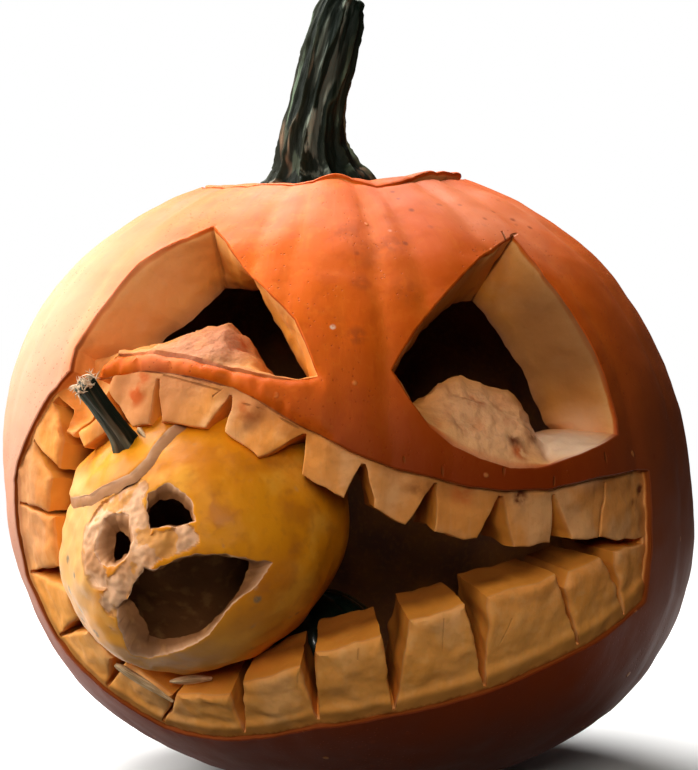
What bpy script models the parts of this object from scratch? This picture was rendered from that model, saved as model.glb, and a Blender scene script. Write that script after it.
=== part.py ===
"""Carved pumpkin lantern: a hollow pumpkin with a lid, two cut eyes and a mouth full of teeth that
bites on a smaller carved pumpkin. A little dark gourd inside and three wooden picks hold it there.

Metres, +Z up. The origin is the middle of the flat spot that the pumpkin rests on, under its stem.
A place on a rind is written as (longitude, latitude) in degrees, seen from the middle of that
pumpkin: longitude 0 faces its front, -Y, and grows towards +X, and latitude 90 is its stem."""

from math import atan2, cos, hypot, radians, sin, tau

import bmesh
import bpy
from mathutils import Matrix, Vector

# The big pumpkin's body: an egg of revolution, a little lopsided, with shallow ribs
HALF_WIDTH = 0.150
TOP_HEIGHT = 0.1394
BOTTOM_HEIGHT = 0.1284
TOP_POWER = 2.21
BOTTOM_POWER = 2.30
LOPSIDED = 0.05
LEAN = -0.0122
SLUMP = -0.073
MIDDLE = 0.1265
RIB_COUNT = 18
RIB_DEPTH = 0.0014
WALL = 0.031
RIND = 0.003
SEGMENTS = 54
RINGS = 24
CUTTER_SEGMENTS = 36
CUTTER_RINGS = 18
CUTTER_TURN = 2.9
CLOSE_POINTS = 0.00003

# Lid and stem. The lid's top is sunk round the stem, from the first of FLAT_TOP to the second, as
# the height of a direction. The stem's stations are (x, height above the body's middle, radius).
LID_RADIUS = 0.056
LID_HEIGHT = 0.1305
LID_SLOPE = 0.55
LID_REACH = 0.05
LID_SUNK = 0.0072
FLAT_TOP = (0.915, 0.985)
GAP = 0.0004
STEM = [(-0.0057, 0.122, 0.0235), (-0.0060, 0.131, 0.0225), (-0.0068, 0.138, 0.0180),
        (-0.0080, 0.150, 0.0148), (-0.0060, 0.168, 0.0128), (-0.0015, 0.186, 0.0125),
        (0.0015, 0.197, 0.0113), (0.0042, 0.2105, 0.0098)]
STEM_RIDGES = 7
GROOVED = 0.84

# The mouth: each tooth's front corners, along the upper row from right to left, then back along
# the left arc and the lower row. The line from tooth to tooth is the edge of the opening.
UPPER_TEETH = [
    [(57, -5), (45.5, -4), (48, 4.3)],
    [(46.5, 4), (45, -4), (39.5, -3.7), (36.5, 3.3)],
    [(35.5, 3.3), (35.3, -4), (29, -4.3), (27, 3.6)],
    [(26, 3.7), (22.8, -2.6), (20.5, -2.6), (16, -1), (17, 5.8)],
    [(15.8, 6), (11.5, 0), (6.8, 2.5), (5.7, 9)],
    [(4.7, 9.3), (2.3, 4), (-4, 7.5), (-3, 13.3)],
    [(-4.4, 13.8), (-11, 10), (-16.3, 13.8), (-15.5, 19.6)],
    [(-16.8, 19.9), (-20, 14.5), (-28, 15), (-29.3, 22)],
    [(-31.5, 22.2), (-30.5, 14.5), (-34, 14), (-38.7, 18), (-40.6, 21)],
    [(-42.5, 20.3), (-40.3, 17.5), (-39.5, 13.3), (-44.4, 10.3), (-46.6, 12.6), (-47.2, 16)],
    [(-48, 15.8), (-47.9, 12), (-50, 12.5), (-52.5, 16.5), (-54.8, 18.2)],
]
LOWER_TEETH = [
    [(-56, 17), (-55, 16), (-51.2, 10.9), (-52, 6.2), (-60.4, 10.7)],
    [(-61.2, 9.8), (-60, 8.5), (-54.8, 4.3), (-56, -1.3), (-67.4, -0.4)],
    [(-67.8, -1.4), (-54.3, -2.1), (-54.2, -10.5), (-67.6, -12.7)],
    [(-67.8, -13.8), (-51.7, -14), (-50.8, -19.2), (-62.9, -24)],
    [(-62, -25), (-49.8, -21.3), (-45, -26.4), (-52, -32.6)],
    [(-51, -33.2), (-41.5, -26.8), (-32, -32.3), (-39.4, -39.4)],
    [(-38.4, -39.6), (-31, -32), (-18.8, -30), (-18.3, -38.9)],
    [(-17.2, -38.7), (-15.4, -27), (-4.8, -23.4), (-2.6, -34)],
    [(-1.8, -33.9), (-2, -20.8), (8.5, -17.5), (11.2, -31)],
    [(12.1, -30.8), (10.3, -15), (20.7, -12.8), (26.6, -26.7)],
    [(27.6, -26.4), (23.5, -11.6), (35.5, -9), (42.8, -20.4)],
    [(43.8, -20.1), (39.7, -11.5), (40.8, -9), (46.3, -7.2), (48.6, -9), (52.8, -16.5)],
    [(53.8, -16), (49.7, -8.2), (49.4, -6.2), (57, -5.9)],
]
# The edge of the skin round the left eye and the mouth, in one line: under the upper lip to its
# free tip, back over the lip, round the eye, down the left cheek and along the lower lip
UPPER_LIP = [(57.5, 5.1), (54.3, 5.6), (44.3, 5.2), (34.3, 4.2), (26.6, 4.4), (21.1, 5.2), (15, 6.9),
             (10.5, 8), (5, 10), (0.2, 12.5), (-4.3, 14.7), (-10.4, 18.1), (-15.8, 20.7),
             (-21.3, 21.9), (-28, 22.8), (-34.4, 23.1), (-40.1, 22), (-43.6, 21.3)]
LEFT_EYE_EDGE = [(-42.9, 23.8), (-40.4, 25.6), (-31, 25.8), (-23.8, 24.9), (-16.2, 23.4), (-8.6, 22),
                 (-4.5, 21.8), (-1.7, 22.2), (-5.9, 31.5), (-12.9, 37.6), (-31.4, 51.3),
                 (-38.8, 48.2), (-45.6, 42.4), (-48.1, 35.5), (-50.3, 29), (-51.7, 25.8), (-51, 22.2)]
LOWER_LIP = [(-55.9, 18.1), (-61.4, 10.8), (-68.5, 2.9), (-69.4, -5), (-69.4, -13.8), (-63.7, -25),
             (-52, -33.8), (-39.1, -40.7), (-29.6, -41.3), (-16.7, -39.6), (-2.6, -34.9),
             (11.4, -31.8), (26.1, -27.6), (42, -21.5), (50.5, -18.2), (57.8, -14.6)]
CARVING_AXIS = (-6, -2)
BAND_REACH = (0.05, 0.165)
MOUTH_REACH = (0.03, 0.17)

# The groove between the lip's free tip and the cheek goes only part of the way in
GROOVE = [(-42.6, 19.5), (-43.6, 21.3), (-42.9, 23.8), (-41.5, 27), (-49, 29), (-51.7, 25.8),
          (-51, 22.2), (-54.5, 19), (-48, 15.5)]
GROOVE_AXIS = (-47, 22)
GROOVE_REACH = (0.09, 0.165)
GROOVE_DEPTH = 0.013

# The eyes: each corner of the cut on the skin, and where that corner comes out inside the wall
LEFT_EYE = [
    ((-1.7, 22.2), (-4, 26)), ((-4.5, 21.8), (-6.5, 24.5)), ((-8.6, 22), (-11, 25.5)),
    ((-16.2, 23.4), (-15.5, 30.4)), ((-20, 24.2), (-21, 35.5)), ((-23.8, 24.9), (-26, 39)),
    ((-31, 25.8), (-34, 39)), ((-40.4, 25.8), (-40, 36.6)), ((-43.5, 26.5), (-43, 34.5)),
    ((-51.5, 26.5), (-45.5, 33.5)), ((-50.3, 29), (-44.5, 35)), ((-48.1, 35.5), (-41.5, 38.5)),
    ((-45.6, 42.4), (-38.7, 42)), ((-38.8, 48.2), (-36, 46)), ((-31.4, 51.3), (-35, 49.3)),
    ((-18, 41.5), (-22, 49)), ((-12.9, 37.6), (-14.5, 40)), ((-5.9, 31.5), (-8.3, 32.5)),
]
RIGHT_EYE = [
    ((10.2, 23.1), (12.5, 25)), ((13, 17.9), (16, 21.5)), ((15.4, 14.4), (19, 22.5)),
    ((19, 11.4), (23.6, 25.4)), ((22.8, 9.4), (28, 26)), ((27.6, 7.8), (34, 24.8)),
    ((31.2, 7.5), (39.5, 20.5)), ((34.4, 7.8), (41.6, 14.2)), ((44, 9.8), (45.5, 14.2)),
    ((50.2, 11.3), (48, 14.4)), ((50.7, 13.6), (47.2, 15.4)), ((49.8, 22.8), (45.6, 20.5)),
    ((48.1, 30.4), (44.3, 27.8)), ((46.2, 37.8), (43.4, 35.8)), ((46, 46.4), (41.2, 43.1)),
    ((32.2, 41.8), (33, 42)), ((20.2, 34), (25.3, 37.8)), ((14.6, 29), (16.5, 31)),
]
LEFT_EYE_MIDDLES = ((-30, 35), (-28, 45))
RIGHT_EYE_MIDDLES = ((33, 25), (36, 33))
# How far an eye's cutter goes on past the skin and past the inside, as shares of the wall, and
# where its two tips are from the body's middle
EYE_PAST_SKIN = 0.9
EYE_PAST_WALL = 0.15
EYE_TIPS = (0.100, 0.190)

# The small pumpkin, tipped over to the left and forwards, in the left of the mouth
SMALL_PLACE = (-0.0503, -0.0950, 0.1175)
SMALL_ROLL = -37
SMALL_NOD = 19
SMALL_TURN = -18
SMALL_HALF_WIDTH = 0.0618
SMALL_HALF_HEIGHT = 0.0512
SMALL_WALL = 0.0055
SMALL_LID_RADIUS = 0.0285
SMALL_LID_HEIGHT = 0.0455
SMALL_LID_SLOPE = 0.7
SMALL_LID_REACH = 0.02
SEAT_ROOM = 0.0014
SMALL_EYES = {
    "right_eye": [(12, 49.5), (26, 46.5), (29.4, 34.6), (25.5, 27.4), (17, 31.7), (6, 36.6), (8, 43)],
    "left_eye": [(-14, 48), (-3.2, 45), (-5, 37), (-9, 30.4), (-18.7, 29.9), (-25.7, 32.6),
                 (-26.3, 38.5), (-23, 44)],
}
SMALL_MOUTH = [(-28.9, 5.4), (-26.2, 12.8), (-15.3, 19), (-3.5, 23.6), (11, 20.3), (18.9, 16.4),
               (25.5, 11.8), (31.7, 3.4), (36, -1.3), (25.3, -3.1), (12.7, -5), (1.3, -8.5),
               (-10.8, -9.2), (-21.6, -10.1), (-28.6, -11), (-31.3, -7.7), (-29.8, -1.9)]
SMALL_STEM = [((-0.0005, -0.0035, 0.042), 0.0080), ((0.0005, -0.0052, 0.0505), 0.0068),
              ((0.0018, -0.0062, 0.0585), 0.0056), ((0.0026, -0.0062, 0.0700), 0.0050),
              ((0.0030, -0.0050, 0.0830), 0.0053)]
SMALL_STEM_RIDGES = 5

# The dark gourd behind it, and the wooden picks as (pointed end, blunt end, radius)
GOURD_PLACE = (-0.0130, -0.0400, 0.0626)
GOURD_SIZE = (0.0360, 0.0320, 0.0262)
PICKS = {
    "pick_left": ((-0.0856, -0.1035, 0.0641), (-0.0630, -0.1030, 0.0493), 0.0010),
    "pick_right": ((-0.0642, -0.1045, 0.0577), (-0.0473, -0.1045, 0.0591), 0.0010),
    "pick_upper": ((-0.0706, -0.1255, 0.1563), (-0.0751, -0.1182, 0.1605), 0.0008),
}

BODY_CENTRE = Vector((0, 0, MIDDLE))
SMALL_FRAME = (
    Matrix.Translation(SMALL_PLACE)
    @ Matrix.Rotation(radians(SMALL_ROLL), 4, "Y")
    @ Matrix.Rotation(radians(SMALL_NOD), 4, "X")
    @ Matrix.Rotation(radians(SMALL_TURN), 4, "Z")
)

for old in list(bpy.data.objects):
    bpy.data.objects.remove(old)
parts = bpy.data.collections.new("carved_pumpkin_lantern")
cutters = bpy.data.collections.new("cutters")
bpy.context.scene.collection.children.link(parts)
bpy.context.scene.collection.children.link(cutters)


def direction(place):
    """The unit vector that points at a (longitude, latitude) place."""
    lon, lat = (radians(angle) for angle in place)
    return Vector((cos(lat) * sin(lon), -cos(lat) * cos(lon), sin(lat)))


def egg_radius(way):
    """How far the big pumpkin's skin is from its middle, before the ribs."""
    height, power = (TOP_HEIGHT, TOP_POWER) if way.z > 0 else (BOTTOM_HEIGHT, BOTTOM_POWER)
    across = hypot(way.x, way.y) / HALF_WIDTH
    radius = (across**power + (abs(way.z) / height) ** power) ** (-1 / power)
    return radius * (1 + LOPSIDED * way.x + way.x * way.z * (LEAN + SLUMP * abs(way.x) ** 3))


def skin_radius(way):
    """The same with the ribs, which fade out towards the bottom."""
    valley = 1 - abs(sin(RIB_COUNT * atan2(way.x, -way.y) / 2))
    return egg_radius(way) - RIB_DEPTH * valley * (1 - way.z**2) * (1 + way.z) / 2


def lid_radius(way):
    """The same, sunk round the stem."""
    share = min(max((way.z - FLAT_TOP[0]) / (FLAT_TOP[1] - FLAT_TOP[0]), 0), 1)
    return skin_radius(way) - LID_SUNK * share**2 * (3 - 2 * share)


def cavity_radius(way):
    return egg_radius(way) - WALL


def on_body(place, depth=0.0):
    """The point at a place of the big pumpkin, so far under its skin."""
    way = direction(place)
    return BODY_CENTRE + way * (egg_radius(way) - depth)


def small_radius(way):
    """The small pumpkin's skin: a squat egg with a few broad bumps."""
    across = hypot(way.x, way.y) / SMALL_HALF_WIDTH
    bumps = 0.0006 * sin(5 * atan2(way.x, -way.y) + 1.0)
    return 1 / hypot(across, way.z / SMALL_HALF_HEIGHT) - abs(bumps)


def small_cavity_radius(way):
    return small_radius(way) - SMALL_WALL


def seat_radius(way):
    return small_radius(way) + SEAT_ROOM


def paint(name, color, roughness):
    """A plain Principled material."""
    material = bpy.data.materials.new(name)
    material.use_nodes = True
    shader = material.node_tree.nodes["Principled BSDF"]
    shader.inputs["Base Color"].default_value = (*color, 1)
    shader.inputs["Roughness"].default_value = roughness
    shader.inputs["Metallic"].default_value = 0
    return material


def add_mesh(name, work, collection):
    """Turn a bmesh into an object in a collection."""
    mesh = bpy.data.meshes.new(name)
    bmesh.ops.recalc_face_normals(work, faces=work.faces)
    bmesh.ops.triangulate(work, faces=work.faces)
    work.to_mesh(mesh)
    work.free()
    thing = bpy.data.objects.new(name, mesh)
    collection.objects.link(thing)
    if collection == cutters:
        thing.hide_render = True
        thing.display_type = "WIRE"
    return thing


def blob(name, radius_of, frame, collection, segments=CUTTER_SEGMENTS, rings=CUTTER_RINGS, floor=None):
    """A UV sphere whose points move out to radius_of(direction), then into a frame.

    A cutter's seams are turned a little, so that they don't fall on those of what it cuts."""
    work = bmesh.new()
    turn = Matrix.Rotation(radians(CUTTER_TURN if collection == cutters else 0), 4, (0.2, 0.1, 1))
    bmesh.ops.create_uvsphere(work, u_segments=segments, v_segments=rings, radius=1, matrix=turn)
    for vert in work.verts:
        way = vert.co.normalized()
        vert.co = frame @ (way * radius_of(way))
        if floor is not None and vert.co.z < floor:
            vert.co.z = floor
    return add_mesh(name, work, collection)


def cone(name, frame, radius, height, slope, reach, collection):
    """A cutter for a lid: this radius at this height, narrower below by the slope."""
    work = bmesh.new()
    bmesh.ops.create_cone(
        work, cap_ends=True, segments=28, radius1=radius - slope * reach, radius2=radius + slope * reach,
        depth=2 * reach, matrix=frame @ Matrix.Translation((0, 0, height)),
    )
    return add_mesh(name, work, collection)


def loft(name, near, far, frame, near_tip=None, far_tip=None):
    """A cutter between two loops of points. Each end is flat, or a fan to a tip."""
    work = bmesh.new()
    loops = [[work.verts.new(frame @ point) for point in loop] for loop in (near, far)]
    count = len(near)
    for i in range(count):
        j = (i + 1) % count
        work.faces.new((loops[0][i], loops[0][j], loops[1][j], loops[1][i]))
    for loop, tip in zip(loops, (near_tip, far_tip)):
        if tip is None:
            work.faces.new(loop)
            continue
        top = work.verts.new(frame @ tip)
        for i in range(count):
            work.faces.new((loop[i], loop[(i + 1) % count], top))
    return add_mesh(name, work, cutters)


def straight_cut(name, outline, axis, near, far, frame):
    """A cutter whose sides all point at the pumpkin's middle, with flat ends across an axis."""
    normal = direction(axis)
    ways = [direction(place) for place in outline]
    return loft(
        name, [way * (near / way.dot(normal)) for way in ways],
        [way * (far / way.dot(normal)) for way in ways], frame,
    )


def slanting_cut(name, corners, middles):
    """A cutter through the wall whose outer and inner outlines differ."""
    outer = [on_body(skin) - BODY_CENTRE for skin, _ in corners]
    inner = [on_body(inside, WALL) - BODY_CENTRE for _, inside in corners]
    near = [i + (i - o) * EYE_PAST_WALL for o, i in zip(outer, inner)]
    far = [o + (o - i) * EYE_PAST_SKIN for o, i in zip(outer, inner)]
    tips = (direction(middles[1]) * EYE_TIPS[0], direction(middles[0]) * EYE_TIPS[1])
    return loft(name, near, far, Matrix.Translation(BODY_CENTRE), *tips)


def boolean(thing, operation, *others):
    """Add one Boolean modifier for each of the other objects."""
    for other in others:
        change = thing.modifiers.new(f"{operation.lower()}_{other.name}", "BOOLEAN")
        change.operation = operation
        change.solver = "EXACT"
        change.use_self = operation == "UNION"
        change.object = other


def weld(*things):
    """Merge the points that the cuts leave almost on top of each other."""
    for thing in things:
        thing.modifiers.new("weld", "WELD").merge_threshold = CLOSE_POINTS


def stem(name, stations, ridges, collection):
    """A ridged stalk: a star-shaped section swept along a path of (point, radius) stations."""
    section = bpy.data.curves.new(name + "_section", "CURVE")
    ring = section.splines.new("POLY")
    count = 2 * ridges
    ring.points.add(count - 1)
    ring.use_cyclic_u = True
    for i, point in enumerate(ring.points):
        radius = 1.0 if i % 2 else GROOVED
        point.co = (radius * cos(tau * i / count), radius * sin(tau * i / count), 0, 1)
    section_object = bpy.data.objects.new(name + "_section", section)
    cutters.objects.link(section_object)
    path = bpy.data.curves.new(name, "CURVE")
    path.dimensions = "3D"
    path.bevel_mode = "OBJECT"
    path.bevel_object = section_object
    path.use_fill_caps = True
    line = path.splines.new("POLY")
    line.points.add(len(stations) - 1)
    for point, (place, radius) in zip(line.points, stations):
        point.co = (*place, 1)
        point.radius = radius
    sweep = bpy.data.objects.new(name + "_path", path)
    cutters.objects.link(sweep)
    bpy.context.view_layer.update()
    mesh = bpy.data.meshes.new_from_object(sweep.evaluated_get(bpy.context.evaluated_depsgraph_get()))
    work = bmesh.new()
    work.from_mesh(mesh)
    bmesh.ops.remove_doubles(work, verts=work.verts, dist=0.0001)
    bpy.data.objects.remove(sweep)
    bpy.data.objects.remove(section_object)
    return add_mesh(name, work, collection)


def pick(name, point, blunt, radius):
    """A splinter of wood that tapers to a point."""
    point, blunt = Vector(point), Vector(blunt)
    turn = (point - blunt).to_track_quat("Z", "Y").to_matrix().to_4x4()
    work = bmesh.new()
    bmesh.ops.create_cone(
        work, cap_ends=True, segments=8, radius1=radius, radius2=radius * 0.2,
        depth=(point - blunt).length, matrix=Matrix.Translation((point + blunt) / 2) @ turn,
    )
    return add_mesh(name, work, parts)


def body_and_lid():
    """The big pumpkin's shell with its carving, and the lid with its stem."""
    frame = Matrix.Translation(BODY_CENTRE)
    shell = blob("pumpkin_shell", skin_radius, frame, parts, SEGMENTS, RINGS, floor=0)
    cavity = blob("cavity", cavity_radius, frame, cutters)
    lid_hole = cone("lid_hole", frame, LID_RADIUS, LID_HEIGHT, LID_SLOPE, LID_REACH, cutters)

    carving = UPPER_LIP + LEFT_EYE_EDGE + LOWER_LIP
    band = straight_cut("rind_band", carving, CARVING_AXIS, *BAND_REACH, frame)
    boolean(band, "DIFFERENCE", blob("under_rind", lambda way: egg_radius(way) - RIND, frame, cutters))
    groove = straight_cut("groove", GROOVE, GROOVE_AXIS, *GROOVE_REACH, frame)
    core = blob("under_groove", lambda way: egg_radius(way) - GROOVE_DEPTH, frame, cutters)
    boolean(groove, "DIFFERENCE", core)

    opening = [corner for tooth in UPPER_TEETH + LOWER_TEETH for corner in tooth]
    mouth = straight_cut("mouth", opening, CARVING_AXIS, *MOUTH_REACH, frame)
    seat = blob("seat", seat_radius, SMALL_FRAME, cutters, 26, 13)
    boolean(
        shell, "DIFFERENCE", cavity, lid_hole,
        slanting_cut("left_eye", LEFT_EYE, LEFT_EYE_MIDDLES),
        slanting_cut("right_eye", RIGHT_EYE, RIGHT_EYE_MIDDLES), band, groove, mouth, seat,
    )

    lid = blob("pumpkin_lid", lid_radius, frame, parts, SEGMENTS, RINGS)
    lid_plug = cone("lid_plug", frame, LID_RADIUS - GAP, LID_HEIGHT, LID_SLOPE, LID_REACH, cutters)
    stations = [(Vector((x, 0, z)) + BODY_CENTRE, radius) for x, z, radius in STEM]
    boolean(lid, "INTERSECT", lid_plug)
    boolean(lid, "DIFFERENCE", cavity)
    boolean(lid, "UNION", stem("stem", stations, STEM_RIDGES, cutters))
    weld(shell, lid)
    return shell, lid


def small_pumpkin_and_lid():
    """The small pumpkin with its own eyes and mouth, and its lid with a bent stem."""
    small = blob("small_pumpkin", small_radius, SMALL_FRAME, parts, 30, 14)
    cavity = blob("small_cavity", small_cavity_radius, SMALL_FRAME, cutters, 20, 10)
    size = (SMALL_LID_HEIGHT, SMALL_LID_SLOPE, SMALL_LID_REACH, cutters)
    hole = cone("small_lid_hole", SMALL_FRAME, SMALL_LID_RADIUS, *size)
    cuts = [straight_cut("small_" + name, places, (0, 38), 0.03, 0.075, SMALL_FRAME)
            for name, places in SMALL_EYES.items()]
    cuts.append(straight_cut("small_mouth", SMALL_MOUTH, (2, 6), 0.02, 0.075, SMALL_FRAME))
    boolean(small, "DIFFERENCE", cavity, hole, *cuts)

    lid = blob("small_lid", small_radius, SMALL_FRAME, parts, 30, 14)
    plug = cone("small_lid_plug", SMALL_FRAME, SMALL_LID_RADIUS - GAP, *size)
    boolean(lid, "INTERSECT", plug)
    boolean(lid, "DIFFERENCE", cavity)
    stations = [(SMALL_FRAME @ Vector(place), radius) for place, radius in SMALL_STEM]
    boolean(lid, "UNION", stem("small_stem", stations, SMALL_STEM_RIDGES, cutters))
    weld(small, lid)
    return small, lid


def dark_gourd():
    """A little round gourd that stands on the floor of the big pumpkin."""
    sizes = Vector(GOURD_SIZE)
    return blob(
        "dark_gourd", lambda way: 1 / Vector(w / s for w, s in zip(way, sizes)).length,
        Matrix.Translation(GOURD_PLACE), parts, 16, 9,
    )


rind = paint("orange_rind", (0.62, 0.20, 0.04), 0.42)
yellow = paint("yellow_rind", (0.72, 0.45, 0.14), 0.5)
green = paint("dark_green_rind", (0.02, 0.05, 0.03), 0.25)
wood = paint("pale_wood", (0.70, 0.52, 0.34), 0.7)
for thing in body_and_lid():
    thing.data.materials.append(rind)
for thing in small_pumpkin_and_lid():
    thing.data.materials.append(yellow)
dark_gourd().data.materials.append(green)
for pick_name, (sharp_end, blunt_end, thickness) in PICKS.items():
    pick(pick_name, sharp_end, blunt_end, thickness).data.materials.append(wood)
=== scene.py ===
"""The looks of a carved pumpkin lantern that bites a small carved pumpkin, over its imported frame.

A place on a pumpkin is (longitude, latitude) in degrees from that pumpkin's middle: longitude 0
faces its front, -Y, and grows towards +X, and latitude 90 is its stem."""

from math import cos, pi, radians, sin, tau

import bmesh
import bpy
import numpy as np
from mathutils import Matrix, Vector, kdtree, noise
from mathutils.geometry import delaunay_2d_cdt


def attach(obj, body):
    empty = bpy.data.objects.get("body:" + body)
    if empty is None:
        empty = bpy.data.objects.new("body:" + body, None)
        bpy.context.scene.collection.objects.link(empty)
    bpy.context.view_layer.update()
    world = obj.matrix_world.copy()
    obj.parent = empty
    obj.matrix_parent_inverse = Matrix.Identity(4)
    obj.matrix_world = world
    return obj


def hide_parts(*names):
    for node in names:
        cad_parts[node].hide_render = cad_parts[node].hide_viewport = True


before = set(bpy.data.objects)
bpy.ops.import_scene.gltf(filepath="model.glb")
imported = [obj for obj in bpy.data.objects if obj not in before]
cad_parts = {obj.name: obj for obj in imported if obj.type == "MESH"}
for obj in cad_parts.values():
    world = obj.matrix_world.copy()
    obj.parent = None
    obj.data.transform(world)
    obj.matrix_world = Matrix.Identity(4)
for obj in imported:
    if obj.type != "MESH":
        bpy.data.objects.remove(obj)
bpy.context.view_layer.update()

# ---------------------------------------------------------------------------------------------
# The hollow pumpkin: a thick orange rind over pale flesh, scraped out from the top. Its eyes are
# cut slanting through the wall, and its teeth are cut straight in after the skin round them was
# pared off, so they stand a few millimetres under the rind that is left as lips.
# ---------------------------------------------------------------------------------------------
MIDDLE = np.array((0, 0, 0.1265))
HALF_WIDTH, TOP_HEIGHT, BOTTOM_HEIGHT = 0.150, 0.1394, 0.1284
WALL = 0.031
PARED = 0.003
RIB_DEPTH, SUNK_TOP = 0.0019, 0.0072
# How far a cut edge of the rind is rounded, and how far its points are from one another
ROUNDED, SPACING = 0.0006, 0.0015

# The corners of the teeth, a row for each: from the gum round the tip and back to the gum
UPPER_TEETH = [
    [(57, -5), (45.5, -4), (47.5, 4.2)],
    [(47, 4.1), (45, -4), (39.5, -3.7), (36.3, 3.3)],
    [(35.7, 3.3), (35.3, -4), (29, -4.3), (26.8, 3.6)],
    [(26.2, 3.7), (22.8, -2.6), (20.5, -2.6), (16, -1), (16.7, 5.9)],
    [(16.1, 5.9), (11.5, 0), (6.8, 2.5), (5.5, 9.1)],
    [(4.9, 9.2), (2.3, 4), (-4, 7.5), (-3.4, 13.5)],
    [(-4, 13.6), (-11, 10), (-16.3, 13.8), (-15.9, 19.7)],
    [(-16.4, 19.8), (-20, 14.5), (-28, 15), (-30.1, 22.1)],
    [(-30.7, 22.1), (-30.5, 14.5), (-34, 14), (-38.7, 18), (-41.3, 20.7)],
    [(-41.8, 20.6), (-40.3, 17.5), (-39.5, 13.3), (-44.4, 10.3), (-46.6, 12.6), (-47.3, 16)],
    [(-47.9, 15.8), (-47.9, 12), (-50, 12.5), (-52.5, 16.5), (-54.8, 18.2)],
]
LOWER_TEETH = [
    [(-56, 17), (-55, 16), (-51.2, 10.9), (-52, 6.2), (-60.6, 10.5)],
    [(-61, 10), (-60, 8.5), (-54.8, 4.3), (-56, -1.3), (-67.5, -0.6)],
    [(-67.7, -1.2), (-54.3, -2.1), (-54.2, -10.5), (-67.7, -13)],
    [(-67.7, -13.5), (-51.7, -14), (-50.8, -19.2), (-62.6, -24.3)],
    [(-62.3, -24.7), (-49.8, -21.3), (-45, -26.4), (-51.7, -32.8)],
    [(-51.3, -33), (-41.5, -26.8), (-32, -32.3), (-39.2, -39.4)],
    [(-38.6, -39.6), (-31, -32), (-18.8, -30), (-18, -38.8)],
    [(-17.5, -38.8), (-15.4, -27), (-4.8, -23.4), (-2.5, -34)],
    [(-1.9, -33.9), (-2, -20.8), (8.5, -17.5), (11.4, -31)],
    [(11.9, -30.8), (12.7, -15), (21.6, -12.8), (26.8, -26.6)],
    [(27.4, -26.5), (25, -11.6), (37.2, -9), (43, -20.3)],
    [(43.6, -20.2), (39.2, -11.4), (40, -8.8), (46.3, -7.2), (48.6, -9), (53.1, -16.4)],
    [(53.5, -16.1), (49.7, -8.2), (49.4, -6.2), (57, -5.9)],
]
# The edge of the rind round the mouth: down the left cheek, along the lower lip and back along the
# upper lip to its free tip
LIPS = [
    (-51.7, 25.8), (-51, 22.2), (-55.9, 18.1), (-61.4, 10.8), (-68.5, 2.9), (-69.4, -5),
    (-69.4, -13.8), (-63.7, -25), (-52, -33.8), (-39.1, -40.7), (-29.6, -41.3), (-16.7, -39.6),
    (-2.6, -34.9), (11.4, -31.8), (26.1, -27.6), (42, -21.5), (50.5, -18.2), (57.8, -14.6),
    (57.5, 5.1), (54.3, 5.6), (44.3, 5.2), (34.3, 4.2), (26.6, 4.4), (21.1, 5.2), (15, 6.9),
    (10.5, 8), (5, 10), (0.2, 12.5), (-4.3, 14.7), (-10.4, 18.1), (-15.8, 20.7), (-21.3, 21.9),
    (-28, 22.8), (-34.4, 23.1), (-40.1, 22), (-43.6, 21.3), (-42.9, 23.8), (-40.4, 25.6),
]
# The eyes' edges: each place, where its wall comes out inside, and how far down the wall it gets there
LEFT_EYE = [
    ((-40.4, 25.6), (-40.8, 29), 0.7), ((-31, 25.8), (-32.3, 34.2), 0.7),
    ((-25.9, 25.3), (-28.4, 35.9), 0.7), ((-21.5, 24.5), (-22.4, 36.1), 0.72),
    ((-18.6, 23.9), (-19, 34.4), 0.75), ((-14, 23), (-14.4, 29.6), 0.85),
    ((-8.6, 22), (-10.8, 25.4), 0.95), ((-4.5, 21.8), (-6.5, 24.5), 1), ((-1.7, 22.2), (-4, 26), 1),
    ((-5.9, 31.5), (-8.3, 32.5), 1), ((-12.9, 37.6), (-14.5, 40), 1), ((-18, 41.5), (-22, 49), 1),
    ((-31.4, 51.3), (-35, 49.3), 1), ((-38.8, 48.2), (-36, 46), 1), ((-45.6, 42.4), (-38.7, 42), 1),
    ((-48.1, 35.5), (-41.5, 38.5), 1), ((-50.3, 29), (-44.5, 35), 1), ((-51.7, 25.8), (-45.5, 33.5), 1),
]
RIGHT_EYE = [
    ((10.2, 23.1), (12.5, 25), 1), ((13, 17.9), (15.6, 20.8), 1), ((15.4, 14.4), (18.5, 22.4), 0.85),
    ((19, 11.4), (22.2, 24), 0.78), ((22.8, 9.4), (26, 24.6), 0.75), ((27.6, 7.8), (31.2, 23.4), 0.75),
    ((30.2, 7.6), (35, 21.6), 0.75), ((32, 7.5), (38.2, 18.4), 0.76), ((33.3, 7.6), (39.9, 15.4), 0.8),
    ((34.4, 7.8), (41.6, 13.9), 0.9), ((44, 9.8), (45.5, 14.2), 1), ((50.2, 11.3), (48.6, 14.4), 1),
    ((50.7, 13.6), (47.4, 15.4), 1), ((49.8, 22.8), (45.6, 20.5), 1), ((48.1, 30.4), (44.3, 27.8), 1),
    ((46.2, 37.8), (43.4, 35.8), 1), ((46, 46.4), (41.2, 43.1), 1), ((32.2, 41.8), (33, 42), 1),
    ((20.2, 34), (25.3, 37.8), 1), ((14.6, 29), (16.5, 31), 1),
]
# The groove's floor between the lip's free tip and the cheek, and the notch that it lies in
GROOVE_LINE = [(-40.4, 25.6), (-46, 27.6), (-51.7, 25.8)]
NOTCH_LINE = [(-46.5, 28), (-48, 19)]

# How the small pumpkin lies in the mouth, and how far it reaches from its own middle
SMALL_FRAME = (
    Matrix.Translation((-0.0503, -0.0950, 0.1175))
    @ Matrix.Rotation(radians(-37), 4, "Y")
    @ Matrix.Rotation(radians(19), 4, "X")
    @ Matrix.Rotation(radians(-18), 4, "Z")
)
SMALL_SIZE = np.array((0.0618, 0.0618, 0.0512))


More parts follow.
